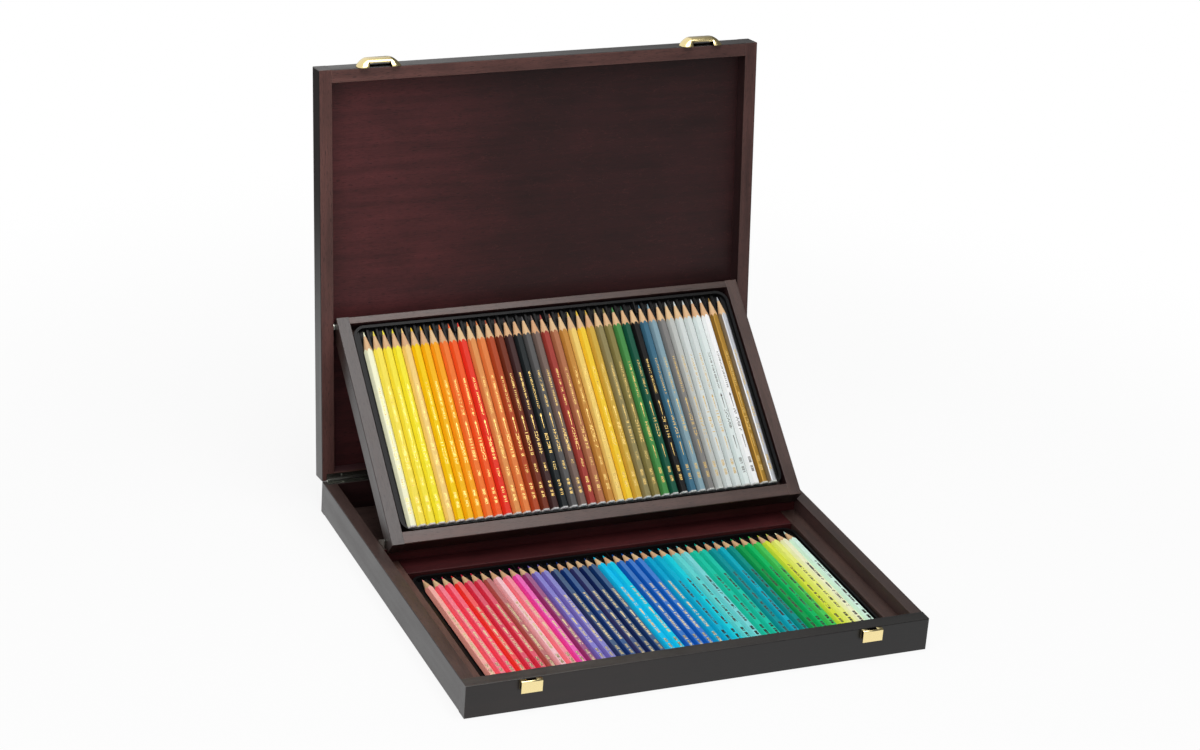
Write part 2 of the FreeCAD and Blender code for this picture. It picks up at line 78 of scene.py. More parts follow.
def linear(code: str) -> tuple[float, float, float, float]:
    """Turn an sRGB hex value into the linear colour that a shader socket takes.

    Args:
        code: Six hex digits, such as "3A2226".

    Returns:
        Red, green, blue and an alpha of one.
    """
    shares = [int(code[at:at + 2], 16) / 255 for at in (0, 2, 4)]
    red, green, blue = (s / 12.92 if s <= 0.04045 else ((s + 0.055) / 1.055) ** 2.4 for s in shares)
    return red, green, blue, 1.0


def add_node(tree: bpy.types.NodeTree, kind: str, inputs: Mapping[str | int, Any] | Sequence[Any] = (),
             stops: Sequence[tuple[float, str]] = (), **settings: Any) -> bpy.types.Node:
    """Add a shader node with its settings, its socket values and its links.

    Args:
        tree: The material's node tree.
        kind: Blender's name for the node, without its usual first words.
        inputs: What each socket takes, by its name or in order: a value, the output socket that
            feeds it, or a node whose first output feeds it.
        stops: Places and sRGB hex colours of a colour ramp.
        **settings: The node's own properties.

    Returns:
        The new node.
    """
    node = tree.nodes.new(f"ShaderNode{kind}")
    for name, value in settings.items():
        setattr(node, name, value)
    for name, value in inputs.items() if isinstance(inputs, Mapping) else enumerate(inputs):
        socket = node.inputs[name]
        if isinstance(value, bpy.types.Node):
            value = value.outputs[0]
        if isinstance(value, bpy.types.NodeSocket):
            tree.links.new(value, socket)
        else:
            socket.default_value = value
    if stops:
        ramp = node.color_ramp.elements
        while len(ramp) < len(stops):
            ramp.new(0.5)
        for element, (place, code) in zip(ramp, stops):
            element.position = place
            element.color = linear(code)
    return node


def new_tree(owner: bpy.types.Material | bpy.types.World) -> Adder:
    """Give a material or a world an empty node tree.

    Args:
        owner: What the tree belongs to.

    Returns:
        The function that adds a node to that tree.
    """
    owner.use_nodes = True
    owner.node_tree.nodes.clear()
    return partial(add_node, owner.node_tree)


class Grain(Enum):
    """Which way a board's grain runs before the board is tilted."""

    ACROSS = 0.0
    DEEP = math.pi / 2


# The hinge's line as (y, z), and how far the open lid is turned back on it.
HINGE = (169.7543, 27.0)
LID_DEGREES = -97.2


@dataclass(frozen=True)
class Stand:
    """How one assembly stands with the case open, told from where it lies with the case shut.

    Points are in millimetres as (y, z). The rims are the faces that meet when the case is shut,
    and rim_side is 1 where they face up, -1 where they face down and 0 where there are none.
    """

    name: str
    degrees: float = 0.0
    pivot_shut: Pair = HINGE
    pivot_open: Pair = HINGE
    rim_side: float = 0.0
    middle: Pair = (0.0, 0.0)

    @property
    def tilt(self) -> float:
        """Turn about X, in radians."""
        return math.radians(self.degrees)

    @property
    def place(self) -> Matrix:
        """Matrix from shut millimetres to open metres."""
        shut, opened = (Vector((0, *pivot)) for pivot in (self.pivot_shut, self.pivot_open))
        return (Matrix.Scale(MM, 4) @ Matrix.Translation(opened) @ Matrix.Rotation(self.tilt, 4, "X")
                @ Matrix.Translation(-shut))

    @property
    def centre(self) -> Vector:
        """Middle of the assembly, from which its faces look in or out, in metres."""
        return self.place @ Vector((0, *self.middle))

    @property
    def rim_faces(self) -> Vector:
        """Direction in which the rims face."""
        return Matrix.Rotation(self.tilt, 3, "X") @ Vector((0, 0, self.rim_side))


# Boards that lie inside have a middle far off, so that every face in sight counts as inside.
IN_BASE = Stand("base", rim_side=1.0, middle=(0.0, 13.5))
UNDER_LID = Stand("base_inside", middle=(0.0, 900.0))
IN_LID = Stand("lid", LID_DEGREES, rim_side=-1.0, middle=(0.0, 35.5))
LID_PANEL = Stand("lid_inside", LID_DEGREES, middle=(0.0, -900.0))
IN_FRAME = Stand("frame", 39.2465, (40.2457, 29.5), (188.4664, 155.1741), rim_side=1.0, middle=(-56.0, 29.5))


@dataclass(frozen=True)
class Finish:
    """A material's name, and the way in which every kind of finish becomes a material."""

    name: str

    @property
    def title(self) -> str:
        """Name of the material."""
        return self.name

    def sockets(self, add: Adder) -> Mapping[str, Any]:
        """Values and feeds of the shader's sockets, which each kind of finish gives."""
        raise NotImplementedError

    def material(self) -> bpy.types.Material:
        """Make the material.

        Returns:
            The node material, whose surface is one Principled shader.
        """
        material = bpy.data.materials.new(self.title)
        add = new_tree(material)
        add("OutputMaterial", {"Surface": add("BsdfPrincipled", self.sockets(add))})
        return material


@dataclass(frozen=True)
class StainedWood(Finish):
    """Fine-grained hardwood, planed and sanded, stained dark and sprayed with satin lacquer.

    The eye gets soft lengthwise streaks, short open pores a shade darker than the wood round
    them, cloudy patches where the stain went in unevenly, and edges rubbed a little paler. Rims, the faces
    that meet when the case is shut, take a colour of their own, partly the stain and partly painted light:
    paler than the rest of the board, for the light and reflection that those faces catch.
    The stain is reddest inside the case and nearly black outside. On some boards a painted shade darkens the
    wood along X towards the right, for the light that falls less on that side. A kind of streak is its width
    in millimetres, its length in widths and its layers of detail. Real fibres and pores are about 0.1 mm
    wide, too fine to show, so they are drawn coarser.
    """

    grain: Grain
    stand: Stand
    inside: str = "35191A"
    rim: str = "5B3934"
    outside: str = "1A1210"
    pore: str = "170B0C"
    rubbed: str = "B49484"
    figured: str = "8A4A45"
    inside_roughness: float = 0.36
    rim_roughness: float = 0.26
    outside_roughness: float = 0.12
    gloss_shift: float = 0.16
    specular: float = 0.5
    bands: Streak = (6.0, 22.0, 3.0)
    clouds: Streak = (28.0, 1.6, 3.0)
    fibres: Streak = (0.5, 40.0, 2.0)
    pores: Streak = (0.3, 18.0, 0.0)
    rubbing: Streak = (3.0, 4.0, 2.0)
    veins: Streak = (9.0, 3.5, 5.0)
    vein_patches: Streak = (9.0, 3.0, 1.0)
    fibre_share: float = 0.5
    tones: Pair = (0.9, 1.6)
    levels: Pair = (0.62, 1.38)
    pore_walls: Pair = (0.66, 0.72)
    pore_depth: float = 0.7
    relief_mm: float = 0.04
    relief_strength: float = 0.4
    rim_within: float = 0.9
    figure: float = 0.0
    vein_width: float = 0.004
    edge_mm: float = 0.5
    edge_bend: Pair = (0.99, 0.9)
    edge_wear: float = 0.35
    painted_shade_span_mm: Pair = (-170.0, 20.0)
    painted_shade_level: float = 1.0

    @property
    def title(self) -> str:
        """Name of the material, which tells boards of one wood apart by grain and stand."""
        return f"{self.name}.{self.grain.name.lower()}.{self.stand.name}"

    def sockets(self, add: Adder) -> Mapping[str, Any]:
        """Say what the shader takes.

        Args:
            add: Adds a node to the finish's tree.

        Returns:
            Values and feeds by socket.
        """
        place = add("TexCoord").outputs
        turn = Matrix.Rotation(self.stand.tilt, 3, "X") @ Matrix.Rotation(self.grain.value, 3, "Z")
        turned = turn.to_euler("XYZ")

        def streaks(width_mm: float, stretch: float, detail: float) -> bpy.types.Node:
            """Draw noise out along the grain.

            Args:
                width_mm: How wide one streak is.
                stretch: How many times as long as wide it is.
                detail: How many finer layers lie over it.

            Returns:
                The noise.
            """
            size = (width_mm * stretch * MM, width_mm * MM, width_mm * MM)
            laid = add("Mapping", {"Vector": place["Object"], "Rotation": turned, "Scale": size},
                       vector_type="TEXTURE")
            return add("TexNoise", {"Vector": laid, "Scale": 1.0, "Detail": detail, "Roughness": 0.55})

        out_from = add("VectorMath", (place["Object"], self.stand.centre), operation="SUBTRACT")
        to_rim, to_outside = (
            add("VectorMath", (place["Normal"], way), operation="DOT_PRODUCT").outputs["Value"]
            for way in (self.stand.rim_faces, out_from))
        # The rims' own colour is partly the stain and partly painted light: it is paler for the light and
        # reflection that those faces catch.
        on_rim = add("Math", (to_rim, self.rim_within), operation="GREATER_THAN")
        off_rim = add("Math", (1.0, on_rim), operation="SUBTRACT")
        on_outside = add("Math", (to_outside, 0.0), operation="GREATER_THAN")
        on_outside = add("Math", (on_outside, off_rim), operation="MULTIPLY")

        fibres = streaks(*self.fibres)
        tone = add("Math", (streaks(*self.bands), streaks(*self.clouds)), operation="ADD")
        tone = add("Math", (fibres, self.fibre_share, tone), operation="MULTIPLY_ADD")
        level = add("MapRange", (tone, *self.tones, *self.levels))
        # Painted shade: the tone darkens along X towards the right, for the light that falls less there.
        across = add("SeparateXYZ", (place["Object"],)).outputs["X"]
        painted_shade = add("MapRange", (across, self.painted_shade_span_mm[0] * MM, self.painted_shade_span_mm[1] * MM, 1.0, self.painted_shade_level),
                   interpolation_type="SMOOTHSTEP")
        level = add("Math", (level, painted_shade), operation="MULTIPLY")
        open_pore = add("MapRange", (streaks(*self.pores), *self.pore_walls, 0.0, self.pore_depth))

        eased = add("Bevel", {"Radius": self.edge_mm * MM}, samples=4)
        flat = add("NewGeometry").outputs["Normal"]
        bend = add("VectorMath", (eased, flat), operation="DOT_PRODUCT").outputs["Value"]
        worn = add("MapRange", (bend, *self.edge_bend, 0.0, self.edge_wear))
        worn = add("Math", (worn, streaks(*self.rubbing)), operation="MULTIPLY")

        layers = [(on_rim, linear(self.rim), "MIX"), (on_outside, linear(self.outside), "MIX"),
                  (1.0, level, "MULTIPLY"), (open_pore, linear(self.pore), "MIX"),
                  (worn, linear(self.rubbed), "MIX")]
        if self.figure:
            vein = add("Math", (streaks(*self.veins), 0.5), operation="SUBTRACT")
            vein = add("Math", (vein,), operation="ABSOLUTE")
            vein = add("MapRange", (vein, 0.0, self.vein_width, self.figure, 0.0))
            vein = add("Math", (vein, streaks(*self.vein_patches)), operation="MULTIPLY")
            layers.insert(-1, (vein, linear(self.figured), "MIX"))
        colour = linear(self.inside)
        for share, over, blend in layers:
            mixed = add("Mix", {0: share, 6: colour, 7: over}, data_type="RGBA", blend_type=blend)
            colour = mixed.outputs[2]

        rough = self.inside_roughness
        for share, more in ((on_rim, self.rim_roughness - self.inside_roughness),
                            (on_outside, self.outside_roughness - self.inside_roughness),
                            (tone, self.gloss_shift)):
            rough = add("Math", (share, more, rough), operation="MULTIPLY_ADD")
        relief = add("Math", (fibres, self.fibre_share, open_pore), operation="MULTIPLY_ADD")
        bump = add("Bump", {"Height": relief, "Strength": self.relief_strength,
                            "Distance": self.relief_mm * MM, "Normal": eased}, invert=True)
        return {"Base Color": colour, "Roughness": rough, "Specular IOR Level": self.specular, "Normal": bump}


@dataclass(frozen=True)
class Relief:
    """Noise that stands up a little from a finish.

    Its features are width_mm wide, stretch widths long and depth_mm deep.
    """

    width_mm: float
    depth_mm: float
    strength: float
    detail: float = 1.0
    stretch: float = 1.0

    def lay(self, add: Adder, space: str, unit: float = MM) -> tuple[bpy.types.Node, bpy.types.Node]:
        """Lay the relief over a finish.

        Args:
            add: Adds a node to the finish's tree.
            space: The coordinates that it follows.
            unit: How long a millimetre is in them.

        Returns:
            The noise, and the normals that it bends.
        """
        size = (self.width_mm * self.stretch * unit, self.width_mm * unit, self.width_mm * unit)
        place = add("TexCoord").outputs[space]
        laid = add("Mapping", {"Vector": place, "Scale": size}, vector_type="TEXTURE")
        noise = add("TexNoise", {"Vector": laid, "Scale": 1.0, "Detail": self.detail})
        bump = add("Bump", {"Height": noise, "Strength": self.strength, "Distance": self.depth_mm * MM})
        return noise, bump


@dataclass(frozen=True)
class PressedPlastic(Finish):
    """Black polystyrene sheet, vacuum formed, which leaves a slight orange peel under a low gloss."""

    colour: str = "121213"
    roughness: float = 0.32
    specular: float = 0.14
    peel: Relief = Relief(width_mm=0.8, depth_mm=0.02, strength=0.2)

    def sockets(self, add: Adder) -> Mapping[str, Any]:
        """One colour over the peel."""
        return {"Base Color": linear(self.colour), "Roughness": self.roughness,
                "Specular IOR Level": self.specular, "Normal": self.peel.lay(add, "Object")[1]}


@dataclass(frozen=True)
class WorkedMetal(Finish):
    """Sheet or wire metal, pressed or drawn, then polished or plated.

    Fine rubbing marks run one way, so a highlight breaks up a little across them. Real ones
    are some hundredths of a millimetre wide, too fine to show, so they are drawn coarser.
    """

    colour: str
    roughness: float
    marks: Relief = Relief(width_mm=0.25, depth_mm=0.004, strength=0.5, detail=2.0, stretch=30.0)

    def sockets(self, add: Adder) -> Mapping[str, Any]:
        """One colour over the marks."""
        return {"Base Color": linear(self.colour), "Metallic": 1.0, "Roughness": self.roughness,
                "Normal": self.marks.lay(add, "Object")[1]}


@dataclass(frozen=True)
class PencilPaint(Finish):
    """Cellulose lacquer, pulled over the pencil in many thin coats.

    It has a low gloss with a faint orange peel, and each pencil's pigment comes from the
    mesh's own colour attribute.
    """

    roughness: float = 0.5
    metallic: float = 0.0
    specular: float = 0.18
    peel: Relief = Relief(width_mm=0.6, depth_mm=0.01, strength=0.2)

    def sockets(self, add: Adder) -> Mapping[str, Any]:
        """Each pencil's own pigment over the peel."""
        return {"Base Color": add("VertexColor", layer_name=SHADE), "Roughness": self.roughness,
                "Metallic": self.metallic, "Specular IOR Level": self.specular,
                "Normal": self.peel.lay(add, "UV", unit=1.0)[1]}


@dataclass(frozen=True)
class SharpenedWood(Finish):
    """Incense cedar, cut to a point by a rotary sharpener and left bare.

    The eye gets a matt cone with grain lines along it, a little redder on some pencils.
    """

    pale: str = "E9C797"
    ruddy: str = "D69D74"
    roughness: float = 0.75
    grain: Relief = Relief(width_mm=0.45, depth_mm=0.02, strength=0.3, detail=2.0, stretch=14.0)
    tones: Pair = (0.25, 1.0)

    def sockets(self, add: Adder) -> Mapping[str, Any]:
        """Say what the shader takes.

        Args:
            add: Adds a node to the finish's tree.

        Returns:
            Values and feeds by socket.
        """
        lines, bump = self.grain.lay(add, "UV", unit=1.0)
        batch = add("Attribute", attribute_name=BATCH).outputs["Fac"]
        tone = add("Math", (lines, 0.5, batch), operation="MULTIPLY_ADD")
        colour = add("ValToRGB", (tone,), stops=tuple(zip(self.tones, (self.pale, self.ruddy))))
        return {"Base Color": colour, "Roughness": self.roughness, "Normal": bump}


@dataclass(frozen=True)
class PigmentCore(Finish):
    """Wax and pigment core, extruded and then sharpened, which leaves a soft waxy sheen.

    Real grit is some hundredths of a millimetre, too fine to show, so it is drawn coarser.
    """

    roughness: float = 0.5
    grit_mm: float = 0.35
    grit_levels: Pair = (0.85, 1.1)

    def sockets(self, add: Adder) -> Mapping[str, Any]:
        """Say what the shader takes.

        Args:
            add: Adds a node to the finish's tree.

        Returns:
            Values and feeds by socket.
        """
        place = add("TexCoord").outputs["UV"]
        grit = add("TexNoise", {"Vector": place, "Scale": 1 / self.grit_mm, "Detail": 2.0})
        level = add("MapRange", (grit, 0.0, 1.0, *self.grit_levels))
        colour = add("Mix", {0: 1.0, 6: add("VertexColor", layer_name=SHADE), 7: level}, data_type="RGBA",
                     blend_type="MULTIPLY")
        return {"Base Color": colour.outputs[2], "Roughness": self.roughness}


@dataclass(frozen=True)
class Stamping(Finish):
    """Foil or ink pressed into the paint with a heated die, a little broken where it was thin.

    The breaks are drawn half a millimetre wide, coarser than real ones, so that they show.
    """

    colour: str
    worn: str
    metallic: float
    roughness: float
    speck_mm: float = 0.5
    breaks: Pair = (0.4, 0.55)

    def sockets(self, add: Adder) -> Mapping[str, Any]:
        """Say what the shader takes.

        Args:
            add: Adds a node to the finish's tree.

        Returns:
            Values and feeds by socket.
        """
        place = add("TexCoord").outputs["Object"]
        specks = add("TexNoise", {"Vector": place, "Scale": 1 / (self.speck_mm * MM)})
        colour = add("ValToRGB", (specks,), stops=tuple(zip(self.breaks, (self.worn, self.colour))))
        return {"Base Color": colour, "Metallic": self.metallic, "Roughness": self.roughness}


# Boards of one wood. Their colours differ from board to board partly by stain and partly by painted light:
# the rims' own colours, the left stile's darker rims, and the painted shade that darkens some boards towards
# the right. The lacquer is glossiest outside and on the tray frame, and dull where a board lies inside.
LID_WOOD = StainedWood("mahogany_lid_stained", Grain.DEEP, IN_LID, painted_shade_span_mm=(40.0, 175.0), painted_shade_level=0.68)
REAR_WOOD = StainedWood("mahogany_lid_rear_stained", Grain.ACROSS, IN_LID, inside="4F3033")
SIDE_WOOD = StainedWood("mahogany_side_stained", Grain.DEEP, IN_BASE, inside="4B3331", rim="453430",
                        painted_shade_span_mm=(0.0, 170.0), painted_shade_level=0.7)
# The walls' rims are painted grey for the reflection that they show.
FRONT_WOOD = StainedWood("mahogany_front_stained", Grain.ACROSS, IN_BASE, rim="413D3A", edge_wear=0.12,
                         painted_shade_span_mm=(-150.0, 150.0), painted_shade_level=0.15)
LEDGE_WOOD = StainedWood("mahogany_ledge_stained", Grain.DEEP, UNDER_LID, inside="5C4038",
                         painted_shade_span_mm=(-150.0, 150.0), painted_shade_level=0.4)
BOTTOM_WOOD = StainedWood("mahogany_bottom_stained", Grain.ACROSS, UNDER_LID, inside="5E4A45", specular=0.2)
INSIDE_WOOD = StainedWood("mahogany_inside_stained", Grain.ACROSS, UNDER_LID, inside="3C1416", specular=0.2)
PANEL_WOOD = StainedWood("mahogany_veneer_stained", Grain.ACROSS, LID_PANEL, inside="4E2224", specular=0.36,
                         figure=0.3, painted_shade_level=0.36)
RAIL_WOOD = StainedWood("mahogany_rail_stained", Grain.ACROSS, IN_FRAME, rim="4F3730", outside="2A1D1A",
                        rim_roughness=0.12, painted_shade_span_mm=(-60.0, 170.0), painted_shade_level=0.72)
# The left stile's rims are painted darker and greyer than the other frame boards' rims: painted light and
# shade for how the light falls on the left of the frame, not a board of another stain.
STILE_WOOD = StainedWood("mahogany_stile_stained", Grain.DEEP, IN_FRAME, rim="3C302D", outside="2A1D1A",
                         rim_roughness=0.12)
# Metal: bright yellow where it was polished and silvery where plated. The near-black brass is painted shade:
# it lines the hollows of the keepers and levers and covers the catch plates under the levers, where shade
# falls.
BRASS = WorkedMetal("brass_pressed_polished", colour="F6E2A6", roughness=0.18)
PAINTED_SHADE_BRASS = WorkedMetal("brass_pressed_unpolished", colour="1F1A12", roughness=0.55)
NICKEL = WorkedMetal("steel_nickel_plated", colour="B9BBB2", roughness=0.25)
BLACK_TRAY = PressedPlastic("polystyrene_black_pressed")
# Gold foil glitters, pale gold reads as cream on bright paint, and dark foil as grey on pale paint.
GOLD_FOIL = Stamping("gold_foil_hot_stamped", "E8CB7E", "B08640", metallic=0.85, roughness=0.35)
PALE_FOIL = Stamping("pale_gold_foil_hot_stamped", "FFF0C4", "EBCB92", metallic=0.1, roughness=0.4)
DARK_FOIL = Stamping("dark_foil_hot_stamped", "3A3734", "6A665C", metallic=0.3, roughness=0.45)


class Coat(Enum):
    """Which finish a face of a pencil takes, as its material number."""

    PAINT = 0
    WOOD = 1
    CORE = 2
    DIP = 3
    FLAKE = 4


# The dipped end is glossier than the pulled paint, and metal flake in the paint makes it glitter.
COATS: Mapping[Coat, Finish] = {
    Coat.PAINT: PencilPaint("cellulose_lacquer_pulled"),
    Coat.WOOD: SharpenedWood("cedar_sharpened_bare"),
    Coat.CORE: PigmentCore("wax_pigment_sharpened"),
    Coat.DIP: PencilPaint("cellulose_lacquer_dipped_end", roughness=0.3),
    Coat.FLAKE: PencilPaint("metal_flake_lacquer_pulled", roughness=0.3, metallic=0.85, specular=0.5),
}


def dress(node: bpy.types.Object, material: bpy.types.Material) -> None:
    """Give a carried-over node of the model one finish all over."""
    node.data.materials.clear()
    node.data.materials.append(material)


@dataclass(frozen=True)
class Woodwork:
    """Every board of the case: base, lid and the frame that carries the upper tray."""

    boards: tuple[tuple[StainedWood, tuple[str, ...]], ...] = (
        (FRONT_WOOD, ("base_front_wall", "base_rear_wall")),
        (SIDE_WOOD, ("base_left_wall", "base_right_wall")),
        (BOTTOM_WOOD, ("base_bottom",)),
        (INSIDE_WOOD, ("deck_strip", "rest_bar")),
        (LEDGE_WOOD, ("ledge_left", "ledge_right")),
        (LID_WOOD, ("lid_left_stile", "lid_right_stile")),
        (replace(LID_WOOD, grain=Grain.ACROSS), ("lid_front_rail",)),
        (REAR_WOOD, ("lid_rear_rail",)),
        (PANEL_WOOD, ("lid_panel",)),
        (STILE_WOOD, ("frame_left_stile",)),
        (replace(RAIL_WOOD, grain=Grain.DEEP), ("frame_right_stile",)),
        (RAIL_WOOD, ("frame_free_rail", "frame_pivot_rail", "frame_back_panel")),
    )

    def dress(self, nodes: Mapping[str, bpy.types.Object]) -> None:
        """Finish each board with its grain along its length.

        Args:
            nodes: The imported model's nodes by name.
        """
        for wood, names in self.boards:
            material = wood.material()
            for name in names:
                dress(nodes[name], material)
                LOG.info("board %s: %s", name, material.name)


def put(name: str, data: bpy.types.ID) -> bpy.types.Object:
    """Put a mesh, a lamp or a camera in the scene.

    Args:
        name: The object's name.
        data: What it shows.

    Returns:
        The new object.
    """
    thing = bpy.data.objects.new(name, data)
    bpy.context.scene.collection.objects.link(thing)
    return thing


def add_piece(name: str, mesh: bpy.types.Mesh, body: str, materials: Sequence[bpy.types.Material],
              replaced: str = "") -> None:
    """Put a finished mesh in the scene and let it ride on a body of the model.

    Args:
        name: The piece's name.
        mesh: Its mesh, in metres in the model's frame.
        body: The body it moves with.
        materials: Its finishes, in the order of its faces' material numbers.
        replaced: The model's node that it stands in for, if there is one.
    """
    for material in materials:
        mesh.materials.append(material)
    piece = put(name, mesh)
    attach(piece, body)
    if replaced:
        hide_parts(replaced)
    LOG.info("piece %s: %d faces on %s", name, len(mesh.polygons), body)


def smooth(mesh: bpy.types.Mesh, bend: float) -> None:
    """Shade a mesh smooth, but for the edges that bend by more than some degrees."""
    mesh.polygons.foreach_set("use_smooth", [True] * len(mesh.polygons))
    mesh.set_sharp_from_angle(angle=math.radians(bend))


@dataclass
class MeshDraft:
    """Points, faces and what each carries, gathered before they become one mesh."""

    points: list[Vector] = field(default_factory=list)
    faces: list[tuple[int, ...]] = field(default_factory=list)
    kinds: list[int] = field(default_factory=list)
    spots: list[Pair] = field(default_factory=list)
    shades: list[tuple[float, float, float, float]] = field(default_factory=list)
    batches: list[float] = field(default_factory=list)

    def add_rings(self, rings: Sequence[Sequence[Vector]]) -> None:
        """Add a closed solid through rings of points: its bands in order, then both caps.

        Args:
            rings: Rings of the same number of points, the first at the bottom.
        """
        first, count = len(self.points), len(rings[0])
        last = first + (len(rings) - 1) * count
        for points in rings:
            self.points.extend(points)
        for low in range(first, last, count):
            for step in range(count):
                turn = (step + 1) % count
                self.faces.append((low + step, low + turn, low + count + turn, low + count + step))
        self.faces.append(tuple(reversed(range(first, first + count))))
        self.faces.append(tuple(range(last, last + count)))

    def mesh(self, name: str, place: Matrix) -> bpy.types.Mesh:
        """Make the mesh.

        Args:
            name: The mesh's name.
            place: Matrix from the draft's millimetres to metres in the model's frame.

        Returns:
            The mesh, with its map and attributes where the draft has them.
        """
        mesh = bpy.data.meshes.new(name)
        mesh.from_pydata([place @ point for point in self.points], [], self.faces)
        if self.kinds:
            mesh.polygons.foreach_set("material_index", self.kinds)
        if self.spots:
            layer = mesh.uv_layers.new(name="along_and_round")
            corners = [self.spots[corner] for face in self.faces for corner in face]
            layer.data.foreach_set("uv", [value for spot in corners for value in spot])
        if self.shades:
            shade = mesh.color_attributes.new(SHADE, "FLOAT_COLOR", "POINT")
            shade.data.foreach_set("color", [value for colour in self.shades for value in colour])
            batch = mesh.attributes.new(BATCH, "FLOAT", "POINT")
            batch.data.foreach_set("value", self.batches)
        smooth(mesh, SHARP_BEND)
        return mesh


def ring(centre: Vector, radius: float, sides: int) -> list[Vector]:
    """Points of a level circle, in millimetres."""
    turns = (math.tau * step / sides for step in range(sides))
    return [centre + Vector((math.cos(turn), math.sin(turn), 0)) * radius for turn in turns]


def lofted(rings: Sequence[Sequence[Vector]]) -> MeshDraft:
    """Closed solid through rings of points.

    Args:
        rings: Rings of the same number of points, the first at the bottom.

    Returns:
        The solid as a draft.
    """
    draft = MeshDraft()
    draft.add_rings(rings)
    return draft


def carved(name: str, body: MeshDraft, cutters: Sequence[MeshDraft], place: Matrix, ease: float,
           added: Sequence[MeshDraft] = (), hollow: Vector | None = None) -> bpy.types.Mesh:
    """Cut solids out of another and ease the edges that are left.

    Args:
        name: Name of the mesh.
        body: The solid that is cut, in millimetres.
        cutters: The solids that are taken out of it.
        place: Matrix from millimetres to metres in the model's frame.
        ease: How far the edges are rounded, in millimetres.
        added: Solids that are joined to it.
        hollow: Point inside a hollow, whose walls take the second finish.

    Returns:
        The finished mesh.
    """
    holders = []
    for number, draft in enumerate((body, *cutters, *added)):
        mesh = draft.mesh(f"{name}_{number}", Matrix.Identity(4))
        facing = bmesh.new()
        facing.from_mesh(mesh)
        bmesh.ops.recalc_face_normals(facing, faces=facing.faces)
        facing.to_mesh(mesh)
        facing.free()
        holders.append(put(mesh.name, mesh))
    for number, tool in enumerate(holders[1:]):
        cut = holders[0].modifiers.new("cut", "BOOLEAN")
        cut.object, cut.solver = tool, "EXACT"
        cut.operation = "DIFFERENCE" if number < len(cutters) else "UNION"
    bevel = holders[0].modifiers.new("eased", "BEVEL")
    bevel.width, bevel.segments = ease, 2
    bevel.limit_method, bevel.angle_limit = "ANGLE", math.radians(EASED_BEND)
    scene_now = bpy.context.evaluated_depsgraph_get()
    mesh = bpy.data.meshes.new_from_object(holders[0].evaluated_get(scene_now))
    mesh.name = name
    for holder in holders:
        bpy.data.objects.remove(holder)
    # Faces that look into the hollow take the second finish, which keepers and levers use for painted shade.
    for face in mesh.polygons if hollow else ():
        face.material_index = int((hollow - face.center).dot(face.normal) > 0)
    mesh.transform(place)
    smooth(mesh, CARVED_SHARP_BEND)
    return mesh


@dataclass
class Keeper:
    """Sheet keeper on the case's front: back plate, two lips with a notch between them, front plate.

    A cutter runs past what it cuts by the length of past.
    """

    side: str
    x: float
    wall: float = -169.7543
    top: float = 26.5
    width: float = 16.6
    height: float = 9.8
    back_height: float = 8.0
    reach: float = 4.0
    sheet: float = 0.8
    bend: float = 1.2
    bend_steps: int = 4
    notch: float = 7.6
    notch_depth: float = 2.2
    past: float = 1.0
    ease: float = 0.18

    def fold(self) -> list[Pair]:
        """Draw the side view of the folded sheet.

        Returns:
            The outline as points (y, z).
        """
        front, top, sheet = self.wall - self.reach, self.top, self.sheet
        turn = [(math.cos(a), math.sin(a)) for a in (math.radians(90 + 90 * step / self.bend_steps)
                                                     for step in range(self.bend_steps + 1))]
        middle = (front + self.bend, top - self.bend)
        outer, inner = ([(middle[0] + radius * c, middle[1] + radius * s) for c, s in turn]
                        for radius in (self.bend, self.bend - sheet))
        low, back = top - self.height, top - self.back_height
        return [(self.wall, back), (self.wall, top), *outer, (front, low), (front + sheet, low),
                *reversed(inner), (self.wall - sheet, top - sheet), (self.wall - sheet, back)]

    def build(self, brass: bpy.types.Material, dull: bpy.types.Material) -> None:
        """Build the keeper in place of the model's plain one.

        Args:
            brass: Finish of the faces in sight.
            dull: Finish of the faces between its plates, near-black brass as painted shade.
        """
        ends = (self.x - self.width / 2, self.x + self.width / 2)
        plate = lofted([[Vector((x, y, z)) for y, z in self.fold()] for x in ends])
        half, front, back = self.notch / 2, self.wall - self.reach + self.sheet, self.wall + self.past
        gap = [Vector((self.x + dx, y, self.top)) for dx, y in
               ((-half, front), (half, front), (half, back), (-half, back))]
        cutter = lofted([[p + Vector((0, 0, dz)) for p in gap] for dz in (-self.notch_depth, self.past)])
        name = f"keeper_plate_{self.side}"
        inside = Vector((self.x, self.wall - self.reach / 2, self.top - self.reach / 2))
        mesh = carved(name, plate, [cutter], IN_BASE.place, self.ease, hollow=inside)
        add_piece(name, mesh, "base", [brass, dull], f"keeper_{self.side}")


